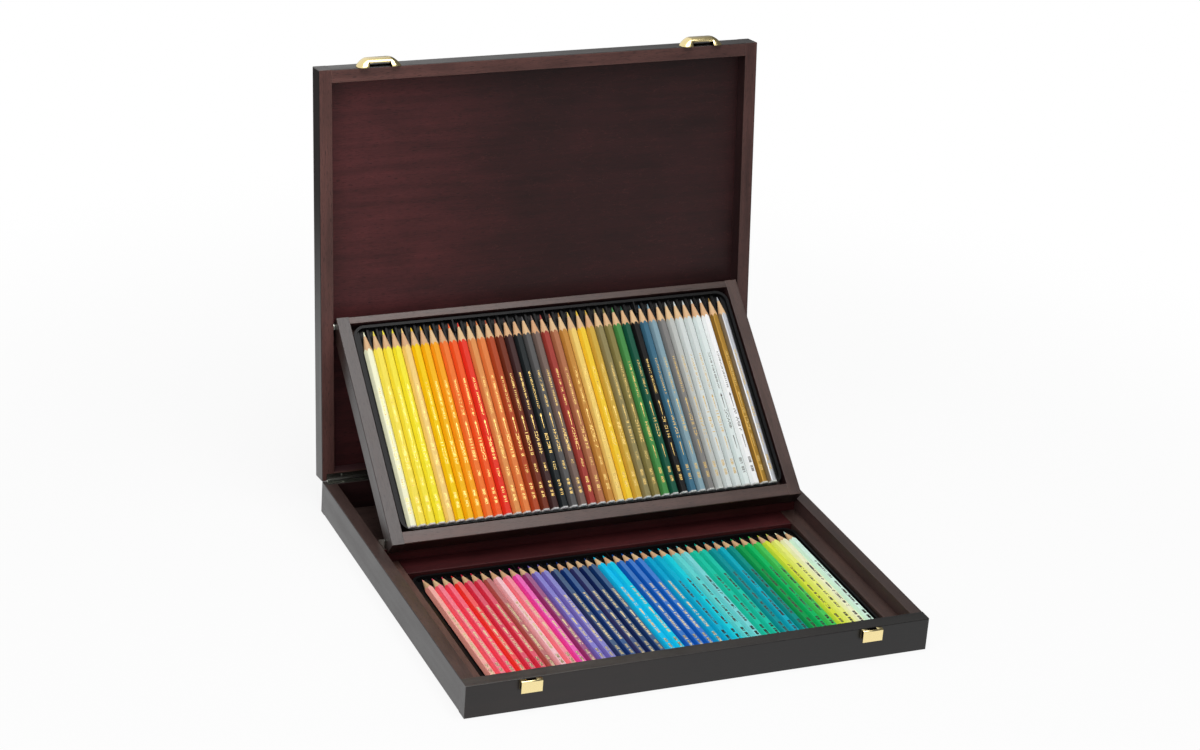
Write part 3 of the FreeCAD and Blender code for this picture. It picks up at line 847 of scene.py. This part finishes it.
@dataclass
class Lever:
    """Pressed hood of a catch, domed and hollow, with its pin, as it lies on the shut case.

    Its foot and its crown are half width, low edge, high edge and corner radius, and its pin
    is reach to each side, y, z and radius. The arch is the mouth over the keeper, as (x, z).
    A cutter runs past what it cuts by the length of past.
    """

    side: str
    x: float
    wall: float = -169.7543
    foot: tuple[float, float, float, float] = (18.0, 24.0, 38.0, 5.0)
    crown: tuple[float, float, float, float] = (10.0, 29.6, 35.4, 2.2)
    gap: float = 0.3
    rise: float = 6.3
    sheet: float = 1.0
    arch: tuple[Pair, ...] = (
        (-9.6, 22.0), (9.6, 22.0), (9.3, 24.4), (8.9, 26.4), (8.2, 26.95),
        (4.6, 27.3), (-4.6, 27.3), (-8.2, 26.95), (-8.9, 26.4), (-9.3, 24.4))
    arch_reach: float = 4.5
    heel_depth: float = 2.0
    pin: tuple[float, float, float, float] = (14.6, -172.2543, 35.4, 0.8)
    pin_sides: int = 16
    window: float = 12.5
    window_room: float = 1.1
    hollow_depth: float = 1.2
    inner_corner: float = 0.8
    past: float = 1.0
    sink: float = 0.01
    ease: float = 0.22
    slope_share: float = 0.5
    levels: int = 11
    corner_steps: int = 7

    def outline(self, share: float, inset: float, y: float) -> list[Vector]:
        """Rounded outline some way from foot to crown.

        Args:
            share: 0 at the foot and 1 at the crown.
            inset: How far inside the outer skin it lies.
            y: Its height off the case.

        Returns:
            The outline's points.
        """
        half, low, high, radius = (a + (b - a) * share for a, b in zip(self.foot, self.crown))
        half, low, high = half - inset, low + inset, high - inset
        radius -= inset * self.inner_corner
        points = []
        for sx, z, start in ((1, high, 0), (-1, high, 90), (-1, low, 180), (1, low, 270)):
            middle = (sx * (half - radius), z - radius if z == high else z + radius)
            for step in range(self.corner_steps):
                angle = math.radians(start + 90 * step / (self.corner_steps - 1))
                points.append(Vector((self.x + middle[0] + radius * math.cos(angle), y,
                                      middle[1] + radius * math.sin(angle))))
        return points

    def dome(self, inset: float) -> MeshDraft:
        """Make the domed solid, or the hollow under its skin.

        Args:
            inset: How thick the skin is, or 0 for the solid itself.

        Returns:
            The solid or the hollow.
        """
        near = self.wall - self.gap
        rings = [self.outline(0.0, inset, near + inset)] if inset else []
        for level in range(self.levels):
            angle = math.pi / 2 * level / (self.levels - 1)
            y = near - (self.rise - inset) * math.sin(angle)
            drawn_in = self.slope_share * math.sin(angle) + (1 - self.slope_share) * (1 - math.cos(angle))
            sunk = self.sink if level == 0 and inset else 0.0
            rings.append(self.outline(drawn_in, inset, y - sunk))
        return lofted(rings)

    def prism(self, outline: Sequence[Pair], front: float) -> MeshDraft:
        """Solid of an outline (x, z) round the lever's middle, from behind the wall to a front."""
        return lofted([[Vector((self.x + dx, y, z)) for dx, z in outline]
                       for y in (self.wall + self.past, front)])

    def block(self, half: float, front: float, low: float) -> MeshDraft:
        """Box of some half width, from a low edge to past the foot's high one."""
        high = self.foot[2] + self.past
        return self.prism(((-half, low), (half, low), (half, high), (-half, high)), front)

    def build(self, brass: bpy.types.Material, dull: bpy.types.Material) -> None:
        """Build the lever in place of the model's plain one.

        Args:
            brass: Finish of its outside and its pin.
            dull: Finish of the hollow, near-black brass as painted shade.
        """
        reach, pin_y, pin_z, radius = self.pin
        near = self.wall - self.gap
        arch = self.prism(self.arch, self.wall - self.arch_reach)
        heel = self.block(self.foot[0] + self.past, near - self.heel_depth, pin_z)
        window = self.block(self.window, pin_y - radius - self.window_room, pin_z - 2 * radius)
        turn = Matrix.Rotation(math.pi / 2, 3, "Y")
        rod = lofted([[Vector((self.x + dx, pin_y, pin_z)) + turn @ p
                       for p in ring(Vector(), radius, self.pin_sides)] for dx in (-reach, reach)])
        name = f"lever_hood_{self.side}"
        inside = Vector((self.x, near - self.hollow_depth, (self.foot[1] + self.foot[2]) / 2))
        cutters = [self.dome(self.sheet), arch, heel, window]
        mesh = carved(name, self.dome(0.0), cutters, IN_LID.place, self.ease, [rod], inside)
        add_piece(name, mesh, f"{self.side}_catch", [brass, dull], f"catch_lever_{self.side}")


@dataclass
class Screw:
    """Domed screw head with a cross recess; its profile is heights and radii as shares of the whole."""

    name: str
    body: str
    stand: Stand
    at: Point
    slot: str
    head: float = 2.2
    rise: float = 1.1
    bit: float = 1.1
    out: float = 1.0
    profile: tuple[Pair, ...] = (
        (0.0, 1.0), (0.4, 1.0), (0.75, 0.86), (0.95, 0.6), (1.0, 0.35))
    sides: int = 28
    blade: float = 0.28
    recess: Pair = (0.45, 1.3)
    eased: float = 0.06

    def build(self, metal: bpy.types.Material) -> None:
        """Build the head on its seat.

        Args:
            metal: Its finish.
        """
        seat = Vector(self.at)
        rings = [ring(seat + Vector((0, 0, self.out * self.rise * up)), self.head * share, self.sides)
                 for up, share in self.profile]
        slots = []
        for long, wide in ((self.bit, self.bit * self.blade), (self.bit * self.blade, self.bit)):
            corners = ((-long, -wide), (long, -wide), (long, wide), (-long, wide))
            slots.append(lofted([[seat + Vector((x, y, self.out * self.rise * up)) for x, y in corners]
                                 for up in self.recess]))
        mesh = carved(self.name, lofted(rings), slots, self.stand.place, self.rise * self.eased)
        add_piece(self.name, mesh, self.body, [metal])


@dataclass(frozen=True)
class Fittings:
    """The trays, hinge, brackets, pivots and catches, in millimetres on the shut case."""

    catch_x: float = 139.0
    bracket_screw: Point = (172.24, 52.25, 27.7)
    hinge_screws_x: tuple[float, ...] = (-172.0, -115.0, -57.0, 0.0, 57.0, 115.0, 172.0)
    hinge_screws_y: float = 165.9
    base_leaf_z: float = 26.8
    lid_leaf_z: float = 27.2

    def dress(self, nodes: Mapping[str, bpy.types.Object]) -> None:
        """Finish each fitting and build the small ones.

        Args:
            nodes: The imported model's nodes by name.
        """
        tray, brass, dull, nickel = (finish.material() for finish in (BLACK_TRAY, BRASS, PAINTED_SHADE_BRASS, NICKEL))
        for name, node in nodes.items():
            if name.endswith("_tray"):
                dress(node, tray)
            # The catch plates under the levers take painted shade, so that they show dark through the arches.
            elif name.startswith("catch_plate"):
                dress(node, dull)
            elif name.startswith(("hinge", "rest_bracket", "frame_pivot_left", "frame_pivot_right")):
                dress(node, nickel)
        for side, way in (("left", -1), ("right", 1)):
            Keeper(side, way * self.catch_x).build(brass, dull)
            Lever(side, way * self.catch_x).build(brass, dull)
            x, y, z = self.bracket_screw
            Screw(f"bracket_screw_{side}", "base", IN_BASE, (way * x, y, z), "bracket_metal").build(nickel)
        for leaf, stand, z, out in (("base", IN_BASE, self.base_leaf_z, 1.0),
                                    ("lid", IN_LID, self.lid_leaf_z, -1.0)):
            for number, x in enumerate(self.hinge_screws_x, 1):
                seat = (x, self.hinge_screws_y, z)
                Screw(f"hinge_screw_{leaf}_{number}", leaf, stand, seat, "hinge_metal", head=1.0, rise=0.12,
                      bit=0.5, out=out).build(nickel)


@dataclass
class PencilShape:
    """One sharpened six-sided pencil, its butt at zero and its point towards +Y, in millimetres.

    The butt's end is rings a distance from the end, drawn in to a share of the full width.
    """

    length: float = 174.0
    flats: float = 6.8
    corner_round: float = 0.32
    half_angle: float = 11.0
    paint_depth: float = 0.09
    core_length: float = 5.2
    blunt: float = 0.9
    dip_length: float = 1.7
    end: tuple[Pair, ...] = ((0.8, 1.0), (0.3, 0.96), (0.05, 0.86), (0.0, 0.74))
    arc_steps: tuple[float, ...] = (-30.0, -10.0, 10.0, 30.0)
    flat_steps: tuple[float, ...] = (0.25, 0.5, 0.75)

    def outline(self) -> list[complex]:
        """Draw the rounded hexagon, flat side up.

        Returns:
            Its points as x + iz.
        """
        centre = (self.flats / 2 - self.corner_round) / math.cos(math.pi / 6)

        def on_arc(corner: int, degrees: float) -> complex:
            """Find a point of one rounded corner.

            Args:
                corner: The corner's number.
                degrees: Angle from the corner's own direction.

            Returns:
                The point.
            """
            turn = complex(math.cos(corner * math.pi / 3), math.sin(corner * math.pi / 3))
            step = math.radians(degrees)
            return turn * (centre + self.corner_round * complex(math.cos(step), math.sin(step)))

        points = []
        for corner in range(6):
            points += [on_arc(corner, degrees) for degrees in self.arc_steps]
            start, end = on_arc(corner, self.arc_steps[-1]), on_arc(corner + 1, self.arc_steps[0])
            points += [start + (end - start) * share for share in self.flat_steps]
        return points

    def rings(self, core_length: float) -> tuple[list[list[Vector]], list[Coat]]:
        """Rings of points from the point to the butt, and the finish between each pair.

        Args:
            core_length: How much of the core the sharpener has bared.

        Returns:
            The rings, and one finish for each band between two rings.
        """
        slope = math.tan(math.radians(self.half_angle))
        outline = self.outline()

        def round_ring(back: float) -> list[Vector]:
            """Ring of the cone, some way back from the point."""
            return [Vector((p.real, 0, p.imag)) * (back * slope / abs(p)) + Vector((0, self.length - back, 0))
                    for p in outline]

        def scallop(sink: float) -> list[Vector]:
            """Ring where the cone meets the sides, sunk a little below the paint."""
            shares = [(p, (abs(p) - sink) / abs(p)) for p in outline]
            return [Vector((p.real * share, self.length - (abs(p) - self.paint_depth) / slope,
                            p.imag * share)) for p, share in shares]

        def side_ring(along: float, share: float) -> list[Vector]:
            """Ring of the sides near the butt, drawn in to round the end."""
            return [Vector((p.real * share, along, p.imag * share)) for p in outline]

        rings = [round_ring(self.blunt), round_ring(core_length), scallop(self.paint_depth), scallop(0.0),
                 side_ring(self.dip_length, 1.0), *(side_ring(*step) for step in self.end)]
        coats = [Coat.CORE, Coat.WOOD, Coat.PAINT, Coat.PAINT, *(Coat.DIP for _ in self.end)]
        return rings, coats


@dataclass(frozen=True)
class StampedMarks:
    """Generic marks along a pencil's upper flat: ticks in place of words, a bar and plain numbers.

    Distances run from the butt, in millimetres. A word is where it starts, where it ends and how
    tall it is, and a number is where it starts. The bar widens from its tail to a pointed head,
    told by how far back its blade ends, its base starts and its shoulder lies. Strokes of ticks
    and digits are shares of a cell: from and to along it, then from and to across it.
    """

    words: tuple[Word, ...] = ((47.0, 68.5, 2.3), (87.0, 121.5, 1.5))
    bar: Pair = (70.0, 84.0)
    bar_width: float = 0.75
    bar_tail: float = 0.4
    head: tuple[float, float, float] = (4.0, 3.6, 2.2)
    head_most: float = 0.9
    small_word: Word = (31.5, 40.5, 1.7)
    short_bar: Pair = (33.0, 45.0)
    numbers: tuple[float, ...] = (24.5, 16.5)
    number_height: float = 2.1
    number_pitch: float = 1.8
    pitch_share: float = 1.12
    skipped: float = 0.08
    lift: float = 0.02
    bold: float = 0.08
    ticks: tuple[tuple[tuple[float, ...], ...], ...] = (
        ((0.0, 0.2, 0.0, 1.0),),
        ((0.0, 0.2, 0.0, 1.0), (0.5, 0.7, 0.0, 1.0)),
        ((0.0, 0.2, 0.0, 0.65), (0.5, 0.7, 0.35, 1.0)),
        ((0.0, 0.7, 0.0, 0.2), (0.0, 0.7, 0.8, 1.0)),
        ((0.0, 0.7, 0.4, 0.6), (0.0, 0.2, 0.0, 1.0)),
    )
    segments: tuple[tuple[float, float, float, float], ...] = (
        (0.0, 0.8, 0.82, 1.0), (0.58, 0.8, 0.5, 1.0), (0.58, 0.8, 0.0, 0.5), (0.0, 0.8, 0.0, 0.18),
        (0.0, 0.22, 0.0, 0.5), (0.0, 0.22, 0.5, 1.0), (0.0, 0.8, 0.41, 0.59))
    digits: tuple[str, ...] = ("012345", "12", "01346", "01236", "1256", "02356", "023456", "012",
                               "0123456", "012356")

    def stamp(self, draft: MeshDraft, butt: Vector, number: int, barred: bool, chance: random.Random) -> None:
        """Stamp one pencil.

        Args:
            draft: The marks so far.
            butt: Middle of the upper flat at the butt.
            number: The pencil's plain number.
            barred: Whether it has a short bar in place of the small word.
            chance: The row's random numbers.
        """
        wide = self.bar_width / 2

        def patch(spots: Sequence[Pair]) -> None:
            """Add one flat patch.

            Args:
                spots: Its corners (along, across), told with the point up.
            """
            first = len(draft.points)
            draft.points += [butt + Vector((across, along, self.lift)) for along, across in spots]
            draft.faces.append(tuple(reversed(range(first, first + len(spots)))))

        def cell(start: float, pitch: float, height: float, strokes: Sequence[Sequence[float]]) -> None:
            """Add one cell of strokes, which runs towards the butt.

            Args:
                start: Where it starts.
                pitch: How long it is.
                height: How tall it is.
                strokes: Its strokes, as shares of it.
            """
            for shares in strokes:
                high, low = start - shares[0] * pitch + self.bold, start - shares[1] * pitch - self.bold
                left, right = ((share - 0.5) * height for share in shares[2:])
                patch(((low, left), (low, right), (high, right), (high, left)))

        def blade(low: float, high: float) -> None:
            """Add one bar that widens from its tail."""
            patch(((low, -wide * self.bar_tail), (low, wide * self.bar_tail), (high, wide), (high, -wide)))

        for low, high, height in self.words if barred else (*self.words, self.small_word):
            pitch = height * self.pitch_share
            for step in range(int((high - low) / pitch)):
                if chance.random() > self.skipped:
                    cell(high - step * pitch, pitch, height, self.ticks[chance.randrange(len(self.ticks))])
        for start in self.numbers:
            for step, digit in enumerate(f"{number:03d}"):
                cell(start - step * self.number_pitch, self.number_pitch, self.number_height,
                     [self.segments[int(one)] for one in self.digits[int(digit)]])
        low, high = self.bar
        blade_end, base, shoulder = (high - back for back in self.head)
        blade(low, blade_end)
        most = min(wide * 2, self.head_most)
        patch(((base, -wide), (base, wide), (shoulder, most), (high, 0.0), (shoulder, -most)))
        if barred:
            blade(*self.short_bar)


@dataclass
class PencilRow:
    """Forty sharpened pencils side by side in one tray, in four groups, with their stamped marks.

    The sheened ones' upper flats carry a painted sheen: their pigment is paler by the sheen times its tint,
    told as linear red, green, blue and alpha, for the cool light that those flats reflect. The map runs in
    millimetres along each pencil and round it.
    """

    name: str
    body: str
    shades: Mapping[str, str]
    butt_mm: Pair
    stand: Stand
    seed: int
    flaked: tuple[str, ...] = ()
    shape: PencilShape = field(default_factory=PencilShape)
    gap: float = 0.15
    groups: int = 4
    dip_shade: str = "D6D6D4"
    core_spread: float = 0.5
    ruddiest: float = 0.55
    painted_sheen: float = 0.0
    sheen_tint: tuple[float, float, float, float] = (0.7, 1.15, 1.35, 0.0)
    sheened: tuple[int, ...] = (*range(18), 20, 21, 22)
    top_share: float = 0.49
    map_pitch: float = 30.0
    map_step: float = 0.55
    first_number: int = 1
    marks: StampedMarks = StampedMarks()
    foil: Stamping = GOLD_FOIL
    dark_marks: range = range(0)
    barred_from: int = 40

    def __post_init__(self) -> None:
        """List the pigments, work out the pencils' pitch and start the row's own random numbers."""
        self.pigments = list(self.shades.items())
        self.pitch = self.shape.flats / math.cos(math.pi / 6) + self.gap
        self.chance = random.Random(self.seed)

    def centre(self, index: int) -> Vector:
        """Centre of one pencil's butt, as it lies with the case shut."""
        return Vector(((index - (len(self.shades) - 1) / 2) * self.pitch, *self.butt_mm))

    def add_pencil(self, draft: MeshDraft, index: int) -> None:
        """Add one pencil to a draft.

        Args:
            draft: The group's mesh so far.
            index: The pencil's place in the row.
        """
        spread = self.chance.uniform(-self.core_spread, self.core_spread)
        rings, coats = self.shape.rings(self.shape.core_length + spread)
        butt = self.centre(index)
        pigment, code = self.pigments[index]
        shade, dip = linear(code), linear(self.dip_shade)
        # Painted sheen: the sheened pencils' upper flats are paler and cooler, for the light that they
        # reflect.
        painted_sheen = self.painted_sheen * (index in self.sheened)
        with_sheen = tuple(min(1.0, level + painted_sheen * share) for level, share in zip(shade, self.sheen_tint))
        batch = self.chance.uniform(0.0, self.ruddiest)
        draft.add_rings([[butt + point for point in ring] for ring in rings])
        for number, ring in enumerate(rings):
            for step, point in enumerate(ring):
                on_top = number > coats.index(Coat.PAINT) and point.z > self.shape.flats * self.top_share
                draft.spots.append((point.y, index * self.map_pitch + step * self.map_step))
                draft.shades.append(dip if number > coats.index(Coat.DIP) else with_sheen if on_top else shade)
                draft.batches.append(batch)
        for coat in coats:
            kind = Coat.FLAKE if pigment in self.flaked and coat is Coat.PAINT else coat
            draft.kinds += [kind.value] * len(rings[0])
        draft.kinds += [Coat.CORE.value, Coat.DIP.value]

    def build(self, finishes: Sequence[bpy.types.Material]) -> None:
        """Build the row's groups in place of the model's plain ones, and stamp them.

        Args:
            finishes: The pencil's finishes in the order of its coats.
        """
        share = len(self.shades) // self.groups
        for group in range(self.groups):
            draft = MeshDraft()
            for index in range(group * share, (group + 1) * share):
                self.add_pencil(draft, index)
            name = f"{self.name}_colours_{group + 1}"
            add_piece(name, draft.mesh(name, self.stand.place), self.body, finishes,
                      f"{self.name}_pencils_{group + 1}")
        drafts = {self.foil: MeshDraft(), DARK_FOIL: MeshDraft()}
        for index in range(len(self.shades)):
            top = self.centre(index) + Vector((0, 0, self.shape.flats / 2))
            draft = drafts[DARK_FOIL if index in self.dark_marks else self.foil]
            self.marks.stamp(draft, top, self.first_number + index, index >= self.barred_from, self.chance)
        for foil, draft in drafts.items():
            name = f"{self.name}_marks_{foil.name.partition('_')[0]}"
            add_piece(name, draft.mesh(name, self.stand.place), self.body, [foil.material()])


@dataclass(frozen=True)
class Softbox:
    """One square soft lamp: where it hangs and what it faces, in metres, its side and its watts."""

    name: str
    place: Point
    aim: Point
    side: float
    watts: float

    def hang(self) -> None:
        """Hang the lamp."""
        data = bpy.data.lights.new(self.name, "AREA")
        data.size, data.energy = self.side, self.watts
        lamp = put(self.name, data)
        lamp.location = self.place
        lamp.rotation_euler = (Vector(self.aim) - lamp.location).to_track_quat("-Z", "Y").to_euler()


@dataclass(frozen=True)
class Studio:
    """Pale floor, white surroundings, soft lamps and the camera.

    In reflections the surroundings turn darker towards +X, and the floor a little way off.
    """

    image_width: float = 1200.0
    focal_px: float = 3012.0
    sensor_mm: float = 36.0
    sees_to: float = 100.0
    eye_mm: Point = (-887.0, -1914.6, 1128.8)
    forward: Point = (0.3738, 0.8311, -0.4118)
    up: Point = (0.0997, 0.4054, 0.9087)
    world_fill: float = 0.28
    world_mirrored: Pair = (0.9, 0.12)
    world_turns_dark: Pair = (0.26, 0.46)
    floor_half: float = 6.0
    floor_colour: str = "F4F4F4"
    table_radius: float = 0.45
    table_fade: float = 0.5
    table_far: float = 0.12
    glow_near: float = 0.88
    lamps: tuple[Softbox, ...] = (
        Softbox("softbox_above", (0.0, -0.5, 2.2), (0.0, -0.3, 0.1), side=1.6, watts=34.0),
        Softbox("softbox_left", (-2.0, -1.2, 1.2), (0.0, 0.0, 0.15), side=1.2, watts=9.0))

    def camera(self) -> None:
        """Place the camera and make it the scene's own."""
        data = bpy.data.cameras.new("camera")
        data.sensor_width = self.sensor_mm
        data.lens = self.sensor_mm * self.focal_px / self.image_width
        data.clip_end = self.sees_to
        back = -Vector(self.forward).normalized()
        right = Vector(self.up).cross(back).normalized()
        turn = Matrix((right, back.cross(right), back)).transposed()
        camera = put("camera", data)
        camera.matrix_world = Matrix.Translation(Vector(self.eye_mm) * MM) @ turn.to_4x4()
        bpy.context.scene.camera = camera

    def world(self) -> None:
        """White surroundings for the eye and for reflections, and a quieter fill for matt surfaces."""
        world = bpy.data.worlds.new("studio")
        bpy.context.scene.world = world
        add = new_tree(world)
        ray = add("LightPath").outputs
        way = add("SeparateXYZ", (add("TexCoord"),)).outputs["X"]
        mirrored = add("MapRange", (way, *self.world_turns_dark, *self.world_mirrored))
        matt = add("Mix", {0: ray["Is Glossy Ray"], 2: self.world_fill, 3: mirrored})
        level = add("Math", (ray["Is Camera Ray"], matt), operation="MAXIMUM")
        sky = add("Background", {"Color": (1, 1, 1, 1), "Strength": level})
        add("OutputWorld", {"Surface": sky})

    def floor(self) -> None:
        """Lay the floor, matt white paper that keeps the object's shadow and shows white round it."""
        mesh = bpy.data.meshes.new("floor")
        half = self.floor_half
        mesh.from_pydata([(-half, -half, 0), (half, -half, 0), (half, half, 0), (-half, half, 0)], [],
                         [(0, 1, 2, 3)])
        material = bpy.data.materials.new("paper_white_matt")
        mesh.materials.append(material)
        add = new_tree(material)
        place = add("TexCoord").outputs["Object"]
        away = add("VectorMath", (place,), operation="LENGTH").outputs["Value"]
        ray = add("LightPath").outputs

        def fading(near: float, far: float) -> bpy.types.Node:
            """Level that goes from one value near the object to another far from it."""
            return add("MapRange", (away, self.table_radius, self.table_radius + self.table_fade, near, far),
                       interpolation_type="SMOOTHSTEP")

        level = add("Mix", {0: ray["Is Glossy Ray"], 2: 1.0, 3: fading(1.0, self.table_far)})
        glow = add("Emission", {"Color": (1, 1, 1, 1), "Strength": level})
        share = add("Math", (ray["Is Camera Ray"], fading(self.glow_near, 1.0)), operation="MULTIPLY")
        shown = add("Math", (share, ray["Is Glossy Ray"]), operation="MAXIMUM")
        matt = add("BsdfDiffuse", {"Color": linear(self.floor_colour)})
        add("OutputMaterial", {"Surface": add("MixShader", (shown, matt, glow))})
        put("floor", mesh)

    def build(self) -> None:
        """Set up the whole studio."""
        self.camera()
        self.world()
        self.floor()
        for lamp in self.lamps:
            lamp.hang()
        bpy.context.scene.view_settings.view_transform = "Standard"


UPPER_ROW = PencilRow(
    name="upper", body="tray_frame", butt_mm=(-142.654, 34.5), stand=IN_FRAME, seed=11,
    dark_marks=range(36, 38), barred_from=27, flaked=("metal_gold", "metal_silver"),
    shades={
        "ivory": "FBFBD7", "lemon": "FBE757", "canary": "FBEA43", "yellow": "FBED35",
        "naples_yellow": "F9D580", "golden_yellow": "FAD005", "sunflower": "FBBD10",
        "light_orange": "FBA819", "orange": "F47A31", "vermilion": "F55F27", "scarlet": "EA3825",
        "light_ochre": "E39452", "apricot_ochre": "E68142", "rust": "B24924", "russet": "73311C",
        "umber_black": "402726", "graphite": "1C2224", "slate": "585757", "warm_grey": "77635B",
        "brick": "A23D34", "light_brick": "B2704D", "amber_ochre": "C68A3C", "straw": "F4D170",
        "maize": "F7CE34", "mustard": "D2AB41", "olive_grey": "908457", "olive": "887D47",
        "grass_green": "468C47", "fir_green": "13543F", "black": "101010", "steel_blue": "3C6B83",
        "mist_blue": "86A3AF", "mid_grey": "817F7D", "light_grey": "C1C4C0", "silver_grey": "D8DEDC",
        "pearl_grey": "DAE1DF", "frost_grey": "E4EDEB", "white": "FBFBFB", "metal_gold": "A07A33",
        "metal_silver": "B9BBC0",
    })
LOWER_ROW = PencilRow(
    name="lower", body="base", butt_mm=(-156.104, 11.8), stand=IN_BASE, seed=12,
    # The lower pencils' upper flats carry a painted sheen.
    first_number=41, dark_marks=range(24, 40), foil=PALE_FOIL, painted_sheen=0.09,
    marks=StampedMarks(words=((38.0, 67.0, 2.0), (83.0, 115.0, 1.8)), bar=(69.5, 81.0), bar_width=1.7,
                       small_word=(12.0, 17.5, 1.9), numbers=(32.0, 24.0), bold=0.42),
    # These pigments are painted about 12% lighter in linear terms than the pencils' own, as painted light for
    # the shade that the tray frame casts on the lower tray, and salmon and blush lighter still for their
    # shaded left flats.
    shades={
        "salmon": "FFA797", "coral": "FB6678", "carmine": "F94B63", "flame": "F43930", "crimson": "DE314C",
        "ruby": "E0344D", "sienna": "B85952", "blush": "FFBCC0", "rose": "FB8290", "magenta": "F048AE",
        "aubergine": "9C3472", "violet": "7F6CC4", "lilac": "8174C2", "night_blue": "273463",
        "royal_navy": "0D3477", "plum_blue": "32356A", "midnight": "0C235A", "indigo": "0F356D",
        "cyan": "10CAF9", "sky": "12D0F1", "cobalt": "095EB7", "ultramarine": "095FC0", "delft": "0A66C5",
        "cerulean": "05ABD8", "turquoise": "07B7D8", "lagoon": "18D8E8", "seafoam": "66DEDB",
        "aqua": "7FDFE1", "mint": "1BCBAB", "emerald": "1BCAAF", "teal": "079AA0", "peacock": "0AB1C5",
        "deep_teal": "06958D", "bottle_green": "0CA153", "viridian": "0CBD65", "leaf_green": "49CC5F",
        "lime": "DEEA43", "pistachio": "F1F780", "vanilla": "FAFBD3", "pale_jade": "DCFAEA",
    })


def main() -> None:
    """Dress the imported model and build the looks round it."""
    logging.basicConfig(level=logging.INFO, format="%(name)s: %(message)s")
    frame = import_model()
    Woodwork().dress(frame["nodes"])
    Fittings().dress(frame["nodes"])
    finishes = [COATS[coat].material() for coat in Coat]
    for row in (UPPER_ROW, LOWER_ROW):
        row.build(finishes)
    Studio().build()


if __name__ == "__main__":
    main()
